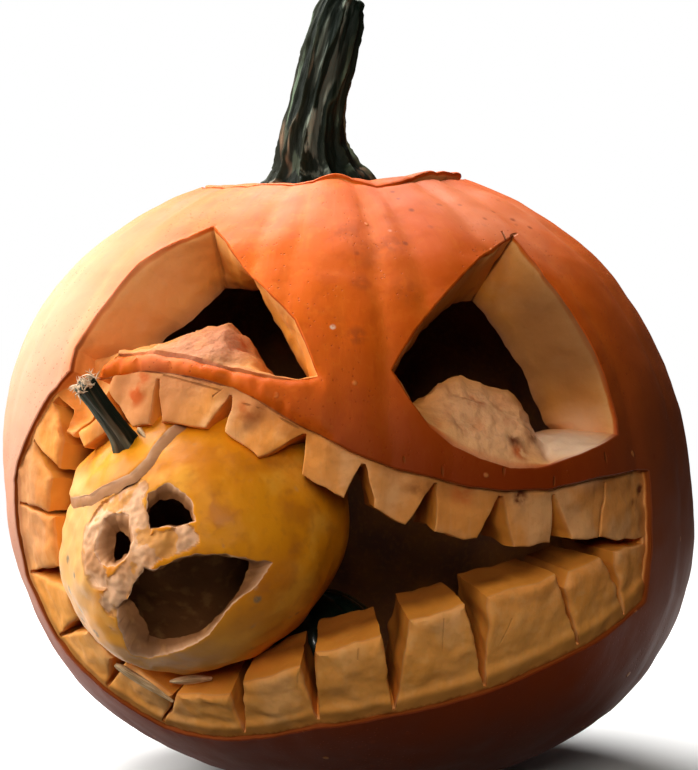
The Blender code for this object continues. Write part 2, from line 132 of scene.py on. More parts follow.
def unit(rows):
    return rows / np.linalg.norm(rows, axis=1, keepdims=True)


def to_ways(places):
    """Unit vectors, one a row, that point at places."""
    lon, lat = np.radians(np.asarray(places, float)).T
    return np.column_stack((np.cos(lat) * np.sin(lon), -np.cos(lat) * np.cos(lon), np.sin(lat)))


def grain(points, size, shift=0.0):
    """Smooth noise from -1 to 1 at points, with lumps about this size."""
    return np.array([noise.noise(p) for p in (points / size + shift).tolist()])


def shake(points, size, *shifts):
    """The same in three directions, each with a shift of its own."""
    return np.column_stack([grain(points, size, shift) for shift in shifts])


def ease(values, start, end):
    """0 before start, 1 after end and smooth between."""
    t = np.clip((values - start) / (end - start), 0, 1)
    return t * t * (3 - 2 * t)


def longitude(points):
    """Degrees round from the front."""
    return np.degrees(np.arctan2(points[:, 0], -points[:, 1]))


def turned(lons, middle):
    """How far longitudes are from a middle one, the short way round."""
    return (lons - middle + 180) % 360 - 180


def swelling(lons, middle, width):
    """1 at the middle longitude, and less and less on both sides."""
    return np.exp(-((turned(lons, middle) / width) ** 2))


def egg(ways):
    """How far the big pumpkin's skin is from its middle, without ribs."""
    x, y, z = ways.T
    height = np.where(z > 0, TOP_HEIGHT, BOTTOM_HEIGHT)
    power = np.where(z > 0, 2.21, 2.30)
    radius = ((np.hypot(x, y) / HALF_WIDTH) ** power + (np.abs(z) / height) ** power) ** (-1 / power)
    return radius * (1 + 0.05 * x + x * z * (-0.0122 - 0.073 * np.abs(x) ** 3))


# Each valley between two ribs: longitude, depth and width
VALLEYS = [
    (-72, 0.6, 5), (-55, 0.8, 4), (-38, 0.7, 4), (-16.5, 0.9, 3.5), (-7, 0.5, 2.5), (9.5, 1.15, 3),
    (18, 0.9, 3), (36, 0.9, 4), (54, 1.1, 4), (70, 0.9, 4),
]
random = np.random.default_rng(31)
VALLEYS += [(88 + k * 18.5 + random.uniform(-4, 4), random.uniform(0.6, 1.2), 4) for k in range(11)]


def valleys(ways):
    """How much each way is in a valley between two ribs."""
    lons = longitude(ways) + 1.5 * grain(ways, 0.25, 7)
    sunk = np.zeros(len(ways))
    for middle, depth, width in VALLEYS:
        sunk += depth * np.exp(-np.abs(turned(lons, middle)) / width)
    return sunk * (0.25 + 0.9 * ease(ways[:, 2], -0.6, 0.9)) * (1 - ways[:, 2] ** 8)


def skin(ways):
    """How far the skin is from the middle: the egg with uneven ribs, one that swells in front of the
    lid, a sunk top, shallow lumps and a flat spot underneath."""
    radius = egg(ways) - RIB_DEPTH * valleys(ways)
    radius += 0.0016 * swelling(longitude(ways), 3.5, 9) * ease(ways[:, 2], 0.80, 0.93)
    radius -= SUNK_TOP * ease(ways[:, 2], 0.915, 0.985)
    for height, size, shift in ((0.0009, 0.22, 0), (0.0004, 0.07, 3), (0.00012, 0.025, 6)):
        radius += height * grain(ways, size, shift)
    floor = np.where(ways[:, 2] < -0.5, MIDDLE[2] / np.maximum(-ways[:, 2], 0.1), 1)
    return np.minimum(radius, floor)


def small_exit(ways):
    """How far out along each way the small pumpkin reaches, and 0 where it isn't."""
    back = SMALL_FRAME.inverted()
    start = np.array(back @ Vector(MIDDLE)) / SMALL_SIZE
    along = ways @ np.array(back.to_3x3()).T / SMALL_SIZE
    a, b = (along**2).sum(1), along @ start
    rest = b * b - a * (start @ start - 1)
    return np.where(rest > 0, (-b + np.sqrt(np.maximum(rest, 0))) / a, 0)


def wall_depth(ways):
    """How deep the wall goes: to the scraped inside, or less where the small pumpkin sits."""
    inside = np.maximum(egg(ways) - WALL - 0.0012 * grain(ways, 0.12, 5), small_exit(ways) + 0.0006)
    return egg(ways) - inside


def from_line(ways, places):
    """How many degrees ways are from a line through places."""
    line = to_ways(places)
    nearest = np.full(len(ways), 9.0)
    for a, b in zip(line, line[1:]):
        t = np.clip((ways - a) @ (b - a) / ((b - a) @ (b - a)), 0, 1)
        nearest = np.minimum(nearest, np.linalg.norm(ways - (a + t[:, None] * (b - a)), axis=1))
    return np.degrees(nearest)


def near_line(ways, places, reach):
    """1 on a line through places and 0 from this many degrees away."""
    return 1 - ease(from_line(ways, places), reach * 0.55, reach)


def pared_depth(ways):
    """How deep the skin was pared off round the teeth, least along the lower lip, and how deep it was
    cut away in the notch."""
    lower_lip = LIPS[4:18]
    pared = PARED - 0.0014 * near_line(ways, lower_lip, 4)
    notch = 1 - ease(from_line(ways, NOTCH_LINE), 3.5, 7)
    return pared + 0.010 * notch + 0.0004 * grain(ways, 0.05, 2)


def trace(places, spacing, closed=True, extra=None, radius=HALF_WIDTH, wavers=((0.0022, 0.06),)):
    """Points along an outline at about this spacing, its corners kept, with extra values if given.
    Wavers are how far the line strays, as a share of the radius, and over what length."""
    ways = to_ways(places)
    extra = np.zeros((len(ways), 0)) if extra is None else np.asarray(extra, float)
    rows = np.column_stack((ways, extra))
    pieces = []
    for i in range(len(rows) if closed else len(rows) - 1):
        a, b = rows[i], rows[(i + 1) % len(rows)]
        count = max(1, round(np.linalg.norm(a[:3] - b[:3]) * radius / spacing))
        pieces.append(a + (b - a) * (np.arange(count) / count)[:, None])
    if not closed:
        pieces.append(rows[-1:])
    rows = np.vstack(pieces)
    ways = unit(rows[:, :3])
    for reach, length in wavers:
        ways = unit(ways + reach * shake(ways, length, 11, 12, 13))
    return ways, rows[:, 3:]


def eye_outline(eye, closed=True):
    """Points along an eye's edge, each with its way in and its crest."""
    outer, inner, crest = zip(*eye)
    return trace(outer, SPACING, closed, np.column_stack((to_ways(inner), crest)))


def flat_map(ways, pole):
    """A map of the sphere that keeps circles round. The pole, 1 or -1, is as far away as can be."""
    return ways[:, :2] / (1 - pole * ways[:, 2:])


def jagged(ways, reach=0.006, length=0.045, shift=41):
    """An outline's ways, torn a little: how far, and over what length."""
    ways = unit(ways)
    return unit(ways + reach * shake(ways, length, shift, shift + 1, shift + 2))


def inside(points, outlines):
    """Whether each point of the map is in an odd number of the closed outlines."""
    odd = np.zeros(len(points), bool)
    starts = np.vstack(outlines)
    ends = np.vstack([np.roll(outline, -1, axis=0) for outline in outlines])
    for (ax, ay), (bx, by) in zip(starts, ends):
        if ay == by:
            continue
        low, high = min(ay, by), max(ay, by)
        near = np.flatnonzero((points[:, 1] >= low) & (points[:, 1] < high))
        crossing = ax + (points[near, 1] - ay) * (bx - ax) / (by - ay)
        odd[near[points[near, 0] < crossing]] ^= True
    return odd


def spread(spacing, radius):
    """Ways spread evenly over the sphere, about this far apart at this radius."""
    count = int(4 * pi * radius**2 / (0.866 * spacing**2))
    i = np.arange(count) + 0.5
    z = 1 - 2 * i / count
    turn = pi * (1 + 5**0.5) * i
    across = np.sqrt(1 - z * z)
    return np.column_stack((across * np.cos(turn), across * np.sin(turn), z))


def distance_from(ways):
    """A function for how far other ways are from the nearest of these."""
    tree = kdtree.KDTree(len(ways))
    for i, way in enumerate(ways):
        tree.insert(way, i)
    tree.balance()
    return lambda others: np.array([tree.find(way)[2] for way in others])


def no_depth(ways):
    """The skin's own depth, 0 everywhere."""
    return np.zeros(len(ways))


class Fruit:
    """A pumpkin's wall in the making: points as ways out from the middle and depths under the skin, in
    rings that are joined to one another and filled by sheets. Fronts says which side of the cut flesh
    a point is on: 1 at the front, 0 for the rest, and -1 in the mouth's own walls. The radius is about
    how far out the wall is, and the pole, 1 for the top or -1 for the bottom, is where no wall is."""

    def __init__(self, radius, pole=1):
        self.radius, self.pole = radius, pole
        self.ways = np.zeros((0, 3))
        self.depths = np.zeros(0)
        self.fronts = np.zeros(0)
        self.faces = []

    def ring(self, ways, depths, front=0.0):
        """Add points, and give their numbers."""
        start = len(self.depths)
        self.ways = np.vstack((self.ways, ways))
        self.depths = np.append(self.depths, np.broadcast_to(depths, len(ways)))
        self.fronts = np.append(self.fronts, np.broadcast_to(front, len(ways)))
        return np.arange(start, len(self.depths))

    def join(self, rings, closed=True):
        """Four-sided faces between each ring and the next, which has as many points."""
        for a, b in zip(rings, rings[1:]):
            c, d = (np.roll(a, -1), np.roll(b, -1)) if closed else (a[1:], b[1:])
            n = len(c)
            self.faces += np.column_stack((a[:n], c, d, b[:n])).tolist()

    def beside(self, ways, distance):
        """A closed outline moved sideways: outwards where distance is above 0."""
        along = np.roll(ways, -1, axis=0) - np.roll(ways, 1, axis=0)
        side = unit(np.cross(ways, along))
        chart = flat_map(ways, self.pole)
        after = np.roll(chart, -1, axis=0)
        turned = self.pole * np.sign((chart[:, 0] * after[:, 1] - after[:, 0] * chart[:, 1]).sum())
        return unit(ways + side * turned * distance / self.radius)

    def widened(self, ways, distances):
        """A closed outline moved outwards a little at a time, and evened out where it moves far, so that
        it never crosses itself."""
        steps = 12
        evened = 0.3 * ease(distances, 0.0010, 0.0022)[:, None]
        for _ in range(steps):
            ways = self.beside(ways, (distances / steps)[:, None])
            beside = np.roll(ways, 1, axis=0) + np.roll(ways, -1, axis=0)
            ways = unit((1 - 2 * evened) * ways + evened * beside)
        return ways

    def loft(self, outer, inner, crest, start, end, steps, front=0.0):
        """Rings from one outline down the wall to another. The points get to the inner outline at crest,
        a share of the way from start to end, which are depths."""
        rings = []
        for t in np.linspace(0, 1, steps + 1):
            share = np.clip(t / crest, 0, 1)[:, None]
            rings.append(self.ring(unit(outer + (inner - outer) * share), start + (end - start) * t, front))
        return rings

    def sheet(self, rings, grades, depth, front=0.0):
        """Fill the area between closed rings with triangles, at a depth that is a function of ways.
        Grades are (spacing, how far from the rings)."""
        outlines = [flat_map(self.ways[ring], self.pole) for ring in rings]
        edge_ids = np.concatenate(rings)
        from_edge = distance_from(self.ways[edge_ids])
        fill, nearest = [], 0.0
        for spacing, reach in grades:
            ways = spread(spacing, self.radius)
            ways = ways[inside(flat_map(ways, self.pole), outlines)]
            away = from_edge(ways) * self.radius
            fill.append(ways[(away > max(nearest, 0.62 * spacing)) & (away <= reach)])
            nearest = reach + 0.2 * spacing
        fill = np.vstack(fill)
        ids = np.concatenate((edge_ids, self.ring(fill, depth(fill), front)))
        links, first = [], 0
        for ring in rings:
            links += [(first + i, first + (i + 1) % len(ring)) for i in range(len(ring))]
            first += len(ring)
        chart = flat_map(self.ways[ids], self.pole)
        points, _, triangles, origin, _, _ = delaunay_2d_cdt(
            [Vector(p) for p in chart.tolist()], links, [], 0, 1e-9
        )
        if any(len(names) == 0 for names in origin):
            raise ValueError("an outline crosses itself or another")
        back = np.array([names[0] for names in origin])
        triangles = back[np.array(triangles)]
        kept = inside(chart[triangles].mean(1), outlines)
        self.faces += ids[triangles[kept]].tolist()

    def piece(self, name, place, **values):
        """The finished piece, with the depth under the skin and other values at every point."""
        mesh = bpy.data.meshes.new(name)
        mesh.from_pydata(place(self.ways, self.depths).tolist(), [], self.faces)
        values.update(depth=self.depths, front=self.fronts)
        for title, rows in values.items():
            mesh.attributes.new(title, "FLOAT", "POINT").data.foreach_set("value", rows)
        work = bmesh.new()
        work.from_mesh(mesh)
        bmesh.ops.recalc_face_normals(work, faces=work.faces)
        work.to_mesh(mesh)
        work.free()
        mesh.shade_smooth()
        mesh.set_sharp_from_angle(angle=radians(38))
        piece = bpy.data.objects.new(name, mesh)
        bpy.context.scene.collection.objects.link(piece)
        return piece


fruit = Fruit(0.145)

# The rind's edge round the mouth and left eye, in one line
lips, _ = trace(LIPS, SPACING, closed=False)
eye_edge, eye_extra = eye_outline(LEFT_EYE, closed=False)
rim = np.vstack((lips[:-1], eye_edge[:-1]))
turn_in = len(lips) - 1
skin_ring = fruit.ring(fruit.beside(rim, ROUNDED), 0.0)
rim_ring = fruit.ring(rim, ROUNDED)
fruit.join([skin_ring, rim_ring])

# The step down from the lips to the pared flesh
lip_ids = rim_ring[: turn_in + 1]
steps = [lip_ids]
bottom = pared_depth(rim[: turn_in + 1])
for share in (0.3, 0.65, 1.0):
    steps.append(fruit.ring(rim[: turn_in + 1], ROUNDED + (bottom - ROUNDED) * share))
fruit.join(steps, closed=False)

# The left eye: its slanting wall starts at the rind, but on the groove's floor beside the lip's tip
groove, _ = trace(GROOVE_LINE, SPACING, closed=False)
groove_ids = fruit.ring(groove[1:-1], pared_depth(groove[1:-1]))
eye_ids = np.concatenate((
    rim_ring[turn_in:], rim_ring[:1], [step[0] for step in steps[1:]], groove_ids[::-1],
    [step[-1] for step in steps[:0:-1]],
))
joined = len(eye_ids) - len(eye_edge)
t = (np.arange(joined) + 1) / (joined + 1)
across = eye_extra[-1] + (eye_extra[0] - eye_extra[-1]) * t[:, None]
inner = jagged(np.vstack((eye_extra, across))[:, :3])
crest = np.append(eye_extra[:, 3], across[:, 3])
start = fruit.depths[eye_ids]
end = wall_depth(inner) - 0.0004
left_rings = fruit.loft(fruit.ways[eye_ids], inner, crest, start, end, 20)[1:]
fruit.join([eye_ids] + left_rings)

# The mouth: straight walls with worn edges, most on the lower teeth
corners = [corner for tooth in UPPER_TEETH + LOWER_TEETH for corner in tooth]
worn = []
for teeth, at_tip in ((UPPER_TEETH, 0.0008), (LOWER_TEETH, 0.0026)):
    for tooth in teeth:
        worn += [0.0002] + [at_tip] * (len(tooth) - 2) + [0.0002]
mouth, worn = trace(corners, SPACING, extra=np.array(worn)[:, None])
worn = worn[:, 0]
front_depth = pared_depth(mouth)
back_depth = np.maximum(wall_depth(mouth), front_depth + 0.005)
mouth_rings = []
for across, down in ((1, 0), (0.5, 0.13), (0.13, 0.5)):
    ring = fruit.widened(mouth, worn * across)
    mouth_rings.append(fruit.ring(ring, front_depth + worn * down, 1.0 - 0.5 * down))
front_ring = mouth_rings[0]
mouth_rings += fruit.loft(
    mouth, mouth, np.ones(len(mouth)), front_depth + worn, back_depth - 0.001, 14, front=-1.0
)
mouth_rings.append(fruit.ring(fruit.beside(mouth, 0.001), back_depth))
fruit.join(mouth_rings)

# The right eye
outer, extra = eye_outline(RIGHT_EYE)
right_skin_ring = fruit.ring(fruit.beside(outer, ROUNDED), 0.0)
inner = jagged(extra[:, :3])
start = np.full(len(outer), ROUNDED)
right_rings = fruit.loft(outer, inner, extra[:, 3], start, wall_depth(inner), 20)
fruit.join([right_skin_ring] + right_rings)

# The lid's seat: a slanting rim round the top, a little uneven from the knife
LID_RADIUS, LID_HEIGHT, LID_SLOPE = 0.056, 0.1305, 0.55


def on_cone(lons, radius, depth):
    """Ways to where the lid's cone meets the surface at this depth under the skin: closer each time."""
    lat = np.full(len(lons), 67.0)
    for _ in range(12):
        ways = to_ways(np.column_stack((lons, lat)))
        out = egg(ways) - depth
        across = radius + LID_SLOPE * (out * ways[:, 2] - LID_HEIGHT)
        lat = np.degrees(np.arccos(np.clip(across / out, -1, 1)))
    return to_ways(np.column_stack((lons, lat)))


rim_lons = np.linspace(0, 360, 240, endpoint=False)
uneven = 0.0006 * grain(to_ways(np.column_stack((rim_lons, 0 * rim_lons))), 0.3)
uneven -= 0.0016 * swelling(rim_lons, 3.5, 11)
uneven += 0.0085 * swelling(rim_lons, 22, 13)
seat_top, seat_bottom = (on_cone(rim_lons, LID_RADIUS + uneven, depth) for depth in (0, WALL))
seat_rings = [fruit.ring(fruit.beside(seat_top, -0.0004), 0.0)]
straight, start = np.ones(len(rim_lons)), np.full(len(rim_lons), 0.0005)
seat_rings += fruit.loft(seat_top, seat_bottom, straight, start, wall_depth(seat_bottom), 12)
fruit.join(seat_rings)

# The skin, the pared flesh between the lips and the teeth, and the scraped inside
fruit.sheet([seat_rings[0], skin_ring, right_skin_ring], [(0.0017, 0.004), (0.0029, 1)], no_depth)
fruit.sheet([np.concatenate((steps[-1], groove_ids)), front_ring], [(0.0014, 1)], pared_depth, 1.0)
fruit.sheet(
    [seat_rings[-1], left_rings[-1], mouth_rings[-1], right_rings[-1]],
    [(0.0018, 0.004), (0.0035, 0.014), (0.006, 1)], wall_depth,
)

from_rim = distance_from(np.vstack((rim, outer)))
# The tops of the mounds in the eyes' lower walls, and the upper lip's roll
MOUND_TOPS = [[(-36, 29), (-26, 32), (-15, 28)], [(19, 19), (28, 18), (36, 15)]]
LIP_ROLL = [(-44, 23.4), (-36, 24.4), (-28, 23.8), (-20, 22.6), (-11, 20.4), (-3, 17.5)]


def place_shell(ways, depths):
    """Where the shell's points are. Cut flesh is uneven from the knife, and the skin isn't, but the
    upper lip has dried into a dented roll."""
    deep = ease(depths, 0, 0.008)
    radius = skin(ways) * (1 - deep) + egg(ways) * deep - depths
    roll = near_line(ways, LIP_ROLL, 7) * (1 - ease(depths, 0.0005, 0.003))
    rolled = np.flatnonzero(roll > 0)
    away = from_rim(ways[rolled]) * HALF_WIDTH
    radius[rolled] -= roll[rolled] * 0.0019 * (1 - np.clip(away / 0.0042, 0, 1)) ** 2
    across = ways[rolled] * (1, 1, 0.25)
    dents = 0.0014 * grain(across, 0.075, 8) - 0.0009 * ease(grain(across, 0.035, 9), 0.1, 0.5)
    radius[rolled] += roll[rolled] * (dents + 0.0004 * grain(ways[rolled], 0.02, 9))
    points = MIDDLE + ways * radius[:, None]
    mounds = np.max([near_line(ways, line, 9) for line in MOUND_TOPS], axis=0)
    mounds = (mounds * ease(depths, 0.002, 0.006))[:, None]
    push = 0.0011 * shake(points, 0.011, 1, 4, 8) + 0.0004 * shake(points, 0.0042, 2, 5, 9)
    push += 0.0007 * mounds * shake(points, 0.006, 3, 6, 10)
    cut = ease(depths, 0.0004, 0.003)[:, None] * (1 + mounds)
    return points + push * cut


by_lip = near_line(fruit.ways, LIPS + LIPS[:1], 3.4)
shell = fruit.piece("shell", place_shell, valley=valleys(fruit.ways), by_lip=by_lip)


class Value:
    """A node's socket that sums can be written with."""

    def __init__(self, nodes, socket):
        self.nodes, self.socket = nodes, socket

    def math(self, operation, *values):
        return self.nodes.node("ShaderNodeMath", {"operation": operation}, dict(enumerate((self, *values))))

    def __add__(self, other):
        return self.math("ADD", other)

    def __mul__(self, other):
        return self.math("MULTIPLY", other)

    def __sub__(self, other):
        return self.math("SUBTRACT", other)

    def __rsub__(self, other):
        return self.nodes.node("ShaderNodeMath", {"operation": "SUBTRACT"}, {0: other, 1: self})

    __radd__ = __add__

    def between(self, low, high):
        """0 below low, 1 above high and smooth between; high may be the lower one."""
        settings = {"interpolation_type": "SMOOTHSTEP"}
        sockets = {"Value": self, "From Min": low, "From Max": high}
        return self.nodes.node("ShaderNodeMapRange", settings, sockets)


class Nodes:
    """A node tree while it is put together."""

    def __init__(self, tree):
        self.tree = tree

    def node(self, kind, settings=(), sockets=(), output=0):
        """A new node: its settings, then the values or links of its sockets. With output None it is
        all outputs that are returned."""
        node = self.tree.nodes.new(kind)
        for name, value in dict(settings).items():
            if name == "stops":
                stops = node.color_ramp.elements
                while len(stops) < len(value):
                    stops.new(1)
                for stop, (position, color) in zip(stops, value):
                    stop.position, stop.color = position, (*color, 1)
            else:
                setattr(node, name, value)
        for name, value in dict(sockets).items():
            self.set(node.inputs[name], value)
        if output is None:
            return [Value(self, socket) for socket in node.outputs if socket.enabled]
        return Value(self, node.outputs[output])

    def set(self, socket, value):
        """Link a socket, or give it a plain value."""
        if isinstance(value, Value):
            self.tree.links.new(value.socket, socket)
        elif isinstance(value, tuple) and socket.type == "RGBA":
            socket.default_value = (*value, 1)
        else:
            socket.default_value = value

    def vector(self, operation, *values, output=0):
        return self.node("ShaderNodeVectorMath", {"operation": operation}, dict(enumerate(values)), output)

    def scaled(self, vector, factor):
        return self.node("ShaderNodeVectorMath", {"operation": "SCALE"}, {0: vector, "Scale": factor})

    def axis(self, vector, number):
        """A vector's X, Y or Z: number 0, 1 or 2."""
        return self.node("ShaderNodeSeparateXYZ", (), {0: vector}, number)

    def noise(self, scale, detail, place, output=0):
        values = {"Vector": place, "Scale": scale, "Detail": detail}
        return self.node("ShaderNodeTexNoise", (), values, output)


class Paint(Nodes):
    """A material while its nodes are put together."""

    def __init__(self, name):
        self.material = bpy.data.materials.new(name)
        self.material.use_nodes = True
        super().__init__(self.material.node_tree)
        self.shader = self.tree.nodes["Principled BSDF"]
        self.place = self.node("ShaderNodeTexCoord", output="Object")

    def finish(self, **sockets):
        """Set the shader's own sockets: base_color is Base Color."""
        for name, value in sockets.items():
            self.set(self.shader.inputs[name.replace("_", " ").title().replace("Ior", "IOR")], value)
        return self.material

    def attribute(self, name, output="Fac"):
        return self.node("ShaderNodeAttribute", {"attribute_name": name}, output=output)

    def noise(self, scale, detail=2.0, place=None):
        return super().noise(scale, detail, place or self.place)

    def stretched(self, x, y, z):
        """Object coordinates, stretched."""
        return self.vector("MULTIPLY", self.place, (x, y, z))

    def cells(self, scale):
        """How far the nearest of many strewn points is."""
        return self.node("ShaderNodeTexVoronoi", (), {"Vector": self.place, "Scale": scale}, "Distance")

    def mix(self, factor, below, above):
        return self.node("ShaderNodeMix", {"data_type": "RGBA"}, {0: factor, 6: below, 7: above}, 2)

    def coats(self, color, *coats):
        """A colour with coats over it, one after another: how strong each is, and its colour."""
        for strength, tone in coats:
            color = self.mix(strength, color, tone)
        return color

    def ramp(self, value, *stops):
        """Colours along a value: each stop is (value, colour)."""
        return self.node("ShaderNodeValToRGB", {"stops": stops}, {"Fac": value})

    def bump(self, height, distance, strength):
        sockets = {"Height": height, "Distance": distance, "Strength": strength}
        return self.node("ShaderNodeBump", (), sockets)

    def spot(self, point, size):
        """1 at a point and 0 from this far away."""
        return self.vector("DISTANCE", self.place, point, output="Value").between(size, size * 0.3)

    def line(self, start, end, width):
        """1 on a straight line between two points and 0 from this far away."""
        line = end - start
        from_start = self.vector("SUBTRACT", self.place, start)
        share = self.vector("DOT_PRODUCT", from_start, line, output="Value") * (1 / line.length_squared)
        foot = self.scaled(line, share.math("MAXIMUM", 0.0).math("MINIMUM", 1.0))
        away = self.vector("DISTANCE", from_start, foot, output="Value")
        return away.between(width, width * 0.3)


def on_egg(place, depth):
    """The point at a place, so far under the skin."""
    way = to_ways([place])
    return Vector(MIDDLE + way[0] * (egg(way)[0] - depth))


# Marks on the rind: place, size, strength and colour
MARKS = [
    ((4.7, 28.4), 0.0060, 0.55, (0.26, 0.045, 0.006)), ((14.6, 49.4), 0.0018, 0.9, (0.80, 0.60, 0.42)),
    ((17.3, 40.8), 0.0016, 0.9, (0.80, 0.60, 0.42)), ((0.7, 29.9), 0.0016, 0.8, (0.80, 0.60, 0.42)),
    ((3.7, 49.3), 0.0080, 0.35, (0.30, 0.06, 0.01)), ((21.1, 33.9), 0.0070, 0.35, (0.34, 0.07, 0.01)),
    ((9, 44), 0.0120, 0.25, (0.32, 0.06, 0.008)), ((14, 36), 0.0100, 0.30, (0.32, 0.06, 0.008)),
    ((14, 46), 0.0070, 0.40, (0.24, 0.040, 0.005)), ((6, 38), 0.0060, 0.35, (0.24, 0.040, 0.005)),
]
# Knife cuts: from a place and depth in metres to another, half width and strength
CUTS = [
    ((46, 46.4), 0.0008, (41.2, 43.1), 0.031, 0.0011, 0.9),
    ((45.3, 46.4), 0, (50.3, 47.6), 0, 0.0009, 0.8), ((42.4, 45), 0, (43.6, 47.4), 0, 0.0008, 0.8),
    ((-31.4, 51.3), 0.001, (-35, 49.3), 0.031, 0.0022, 0.35),
    ((17, 8.9), 0, (17.1, 6.6), 0.002, 0.0008, 0.7), ((26.6, 7.6), 0, (26.3, 4.2), 0.002, 0.0009, 0.8),
    ((35.4, 5.9), 0, (34.9, 3.2), 0.002, 0.0008, 0.6), ((46, 8.7), 0, (46.3, 5.2), 0.002, 0.0009, 0.6),
    ((11.2, 10.2), 0, (11.4, 8.6), 0.002, 0.0008, 0.6),
    ((-29, 22.5), 0.003, (-18, 20.2), 0.003, 0.0006, 0.6),
    ((-19.9, 15.5), 0.003, (-19.1, 19.3), 0.003, 0.0006, 0.5),
    ((-19.1, 19.3), 0.003, (-17, 20.9), 0.003, 0.0006, 0.5),
    ((-15.7, 18.7), 0.003, (-10.1, 17.2), 0.003, 0.0006, 0.6),
    ((-10.1, 17.2), 0.003, (-4.6, 14.4), 0.003, 0.0006, 0.6),
    ((18, -14.7), 0.003, (18.4, -20.2), 0.003, 0.0005, 0.2),
    ((11.9, -14.6), 0.007, (17, -13.4), 0.008, 0.0006, 0.3),
    ((4.8, -18.2), 0.003, (4.7, -21.4), 0.003, 0.0006, 0.3),
    ((29.5, -15.2), 0.003, (28, -19.8), 0.003, 0.0005, 0.2),
    ((-4.6, -18.3), 0.003, (-5.6, -27.7), 0.003, 0.0006, 0.2),
]
# The pale mounds in the eyes: place, depth, size and colour
PALE_MOUNDS = [
    ((-24, 29), 0.012, 0.032, (0.42, 0.165, 0.090)), ((27, 15), 0.014, 0.034, (0.82, 0.42, 0.20)),
]
# The eyes' side walls, with painted shade on the right eye's and painted light on the left eye's,
# and dull places on the teeth: place, size, strength and colour
EYE_WALL_SHADE_AND_LIGHT = [
    ((49, 29), 0.044, 0.80, (0.26, 0.105, 0.034)), ((-48, 38), 0.045, 0.35, (0.90, 0.44, 0.19)),
]
DULL_TEETH = [
    ((-33, 18), 0.036, 0.75, (0.50, 0.19, 0.070)), ((-64, -2), 0.038, 0.5, (0.50, 0.19, 0.080)),
]
# Stains of rot in the flesh: place, depth, size, strength and colour
RUST, BROWN = (0.50, 0.085, 0.010), (0.15, 0.036, 0.010)
ROT = [
    ((-34.2, 19.1), 0.003, 0.0065, 0.95, RUST), ((-33.3, 22), 0.003, 0.005, 0.7, RUST),
    ((-12.8, 17.4), 0.003, 0.008, 0.5, RUST), ((-12.5, 15.5), 0.003, 0.006, 0.4, BROWN),
    ((29.8, 3.3), 0.003, 0.0045, 1.2, BROWN), ((56.5, 2.4), 0.003, 0.004, 1.2, BROWN),
    ((54.5, 0.5), 0.003, 0.0035, 0.9, BROWN), ((30.4, 11.2), 0.010, 0.0065, 1.2, BROWN),
    ((30.5, 9.5), 0.006, 0.006, 0.9, RUST), ((25.6, 18.6), 0.016, 0.007, 0.7, RUST),
    ((16, 14.4), 0.008, 0.009, 0.5, RUST), ((-25, 30.6), 0.018, 0.007, 0.6, RUST),
    ((-17.2, 30.6), 0.018, 0.008, 0.7, RUST), ((20.5, 4.2), 0.003, 0.007, 0.5, RUST),
    ((14, 5), 0.003, 0.007, 0.5, BROWN), ((-52, 13), 0.003, 0.010, 0.4, RUST),
    ((35, 13), 0.010, 0.006, 0.9, BROWN),
]


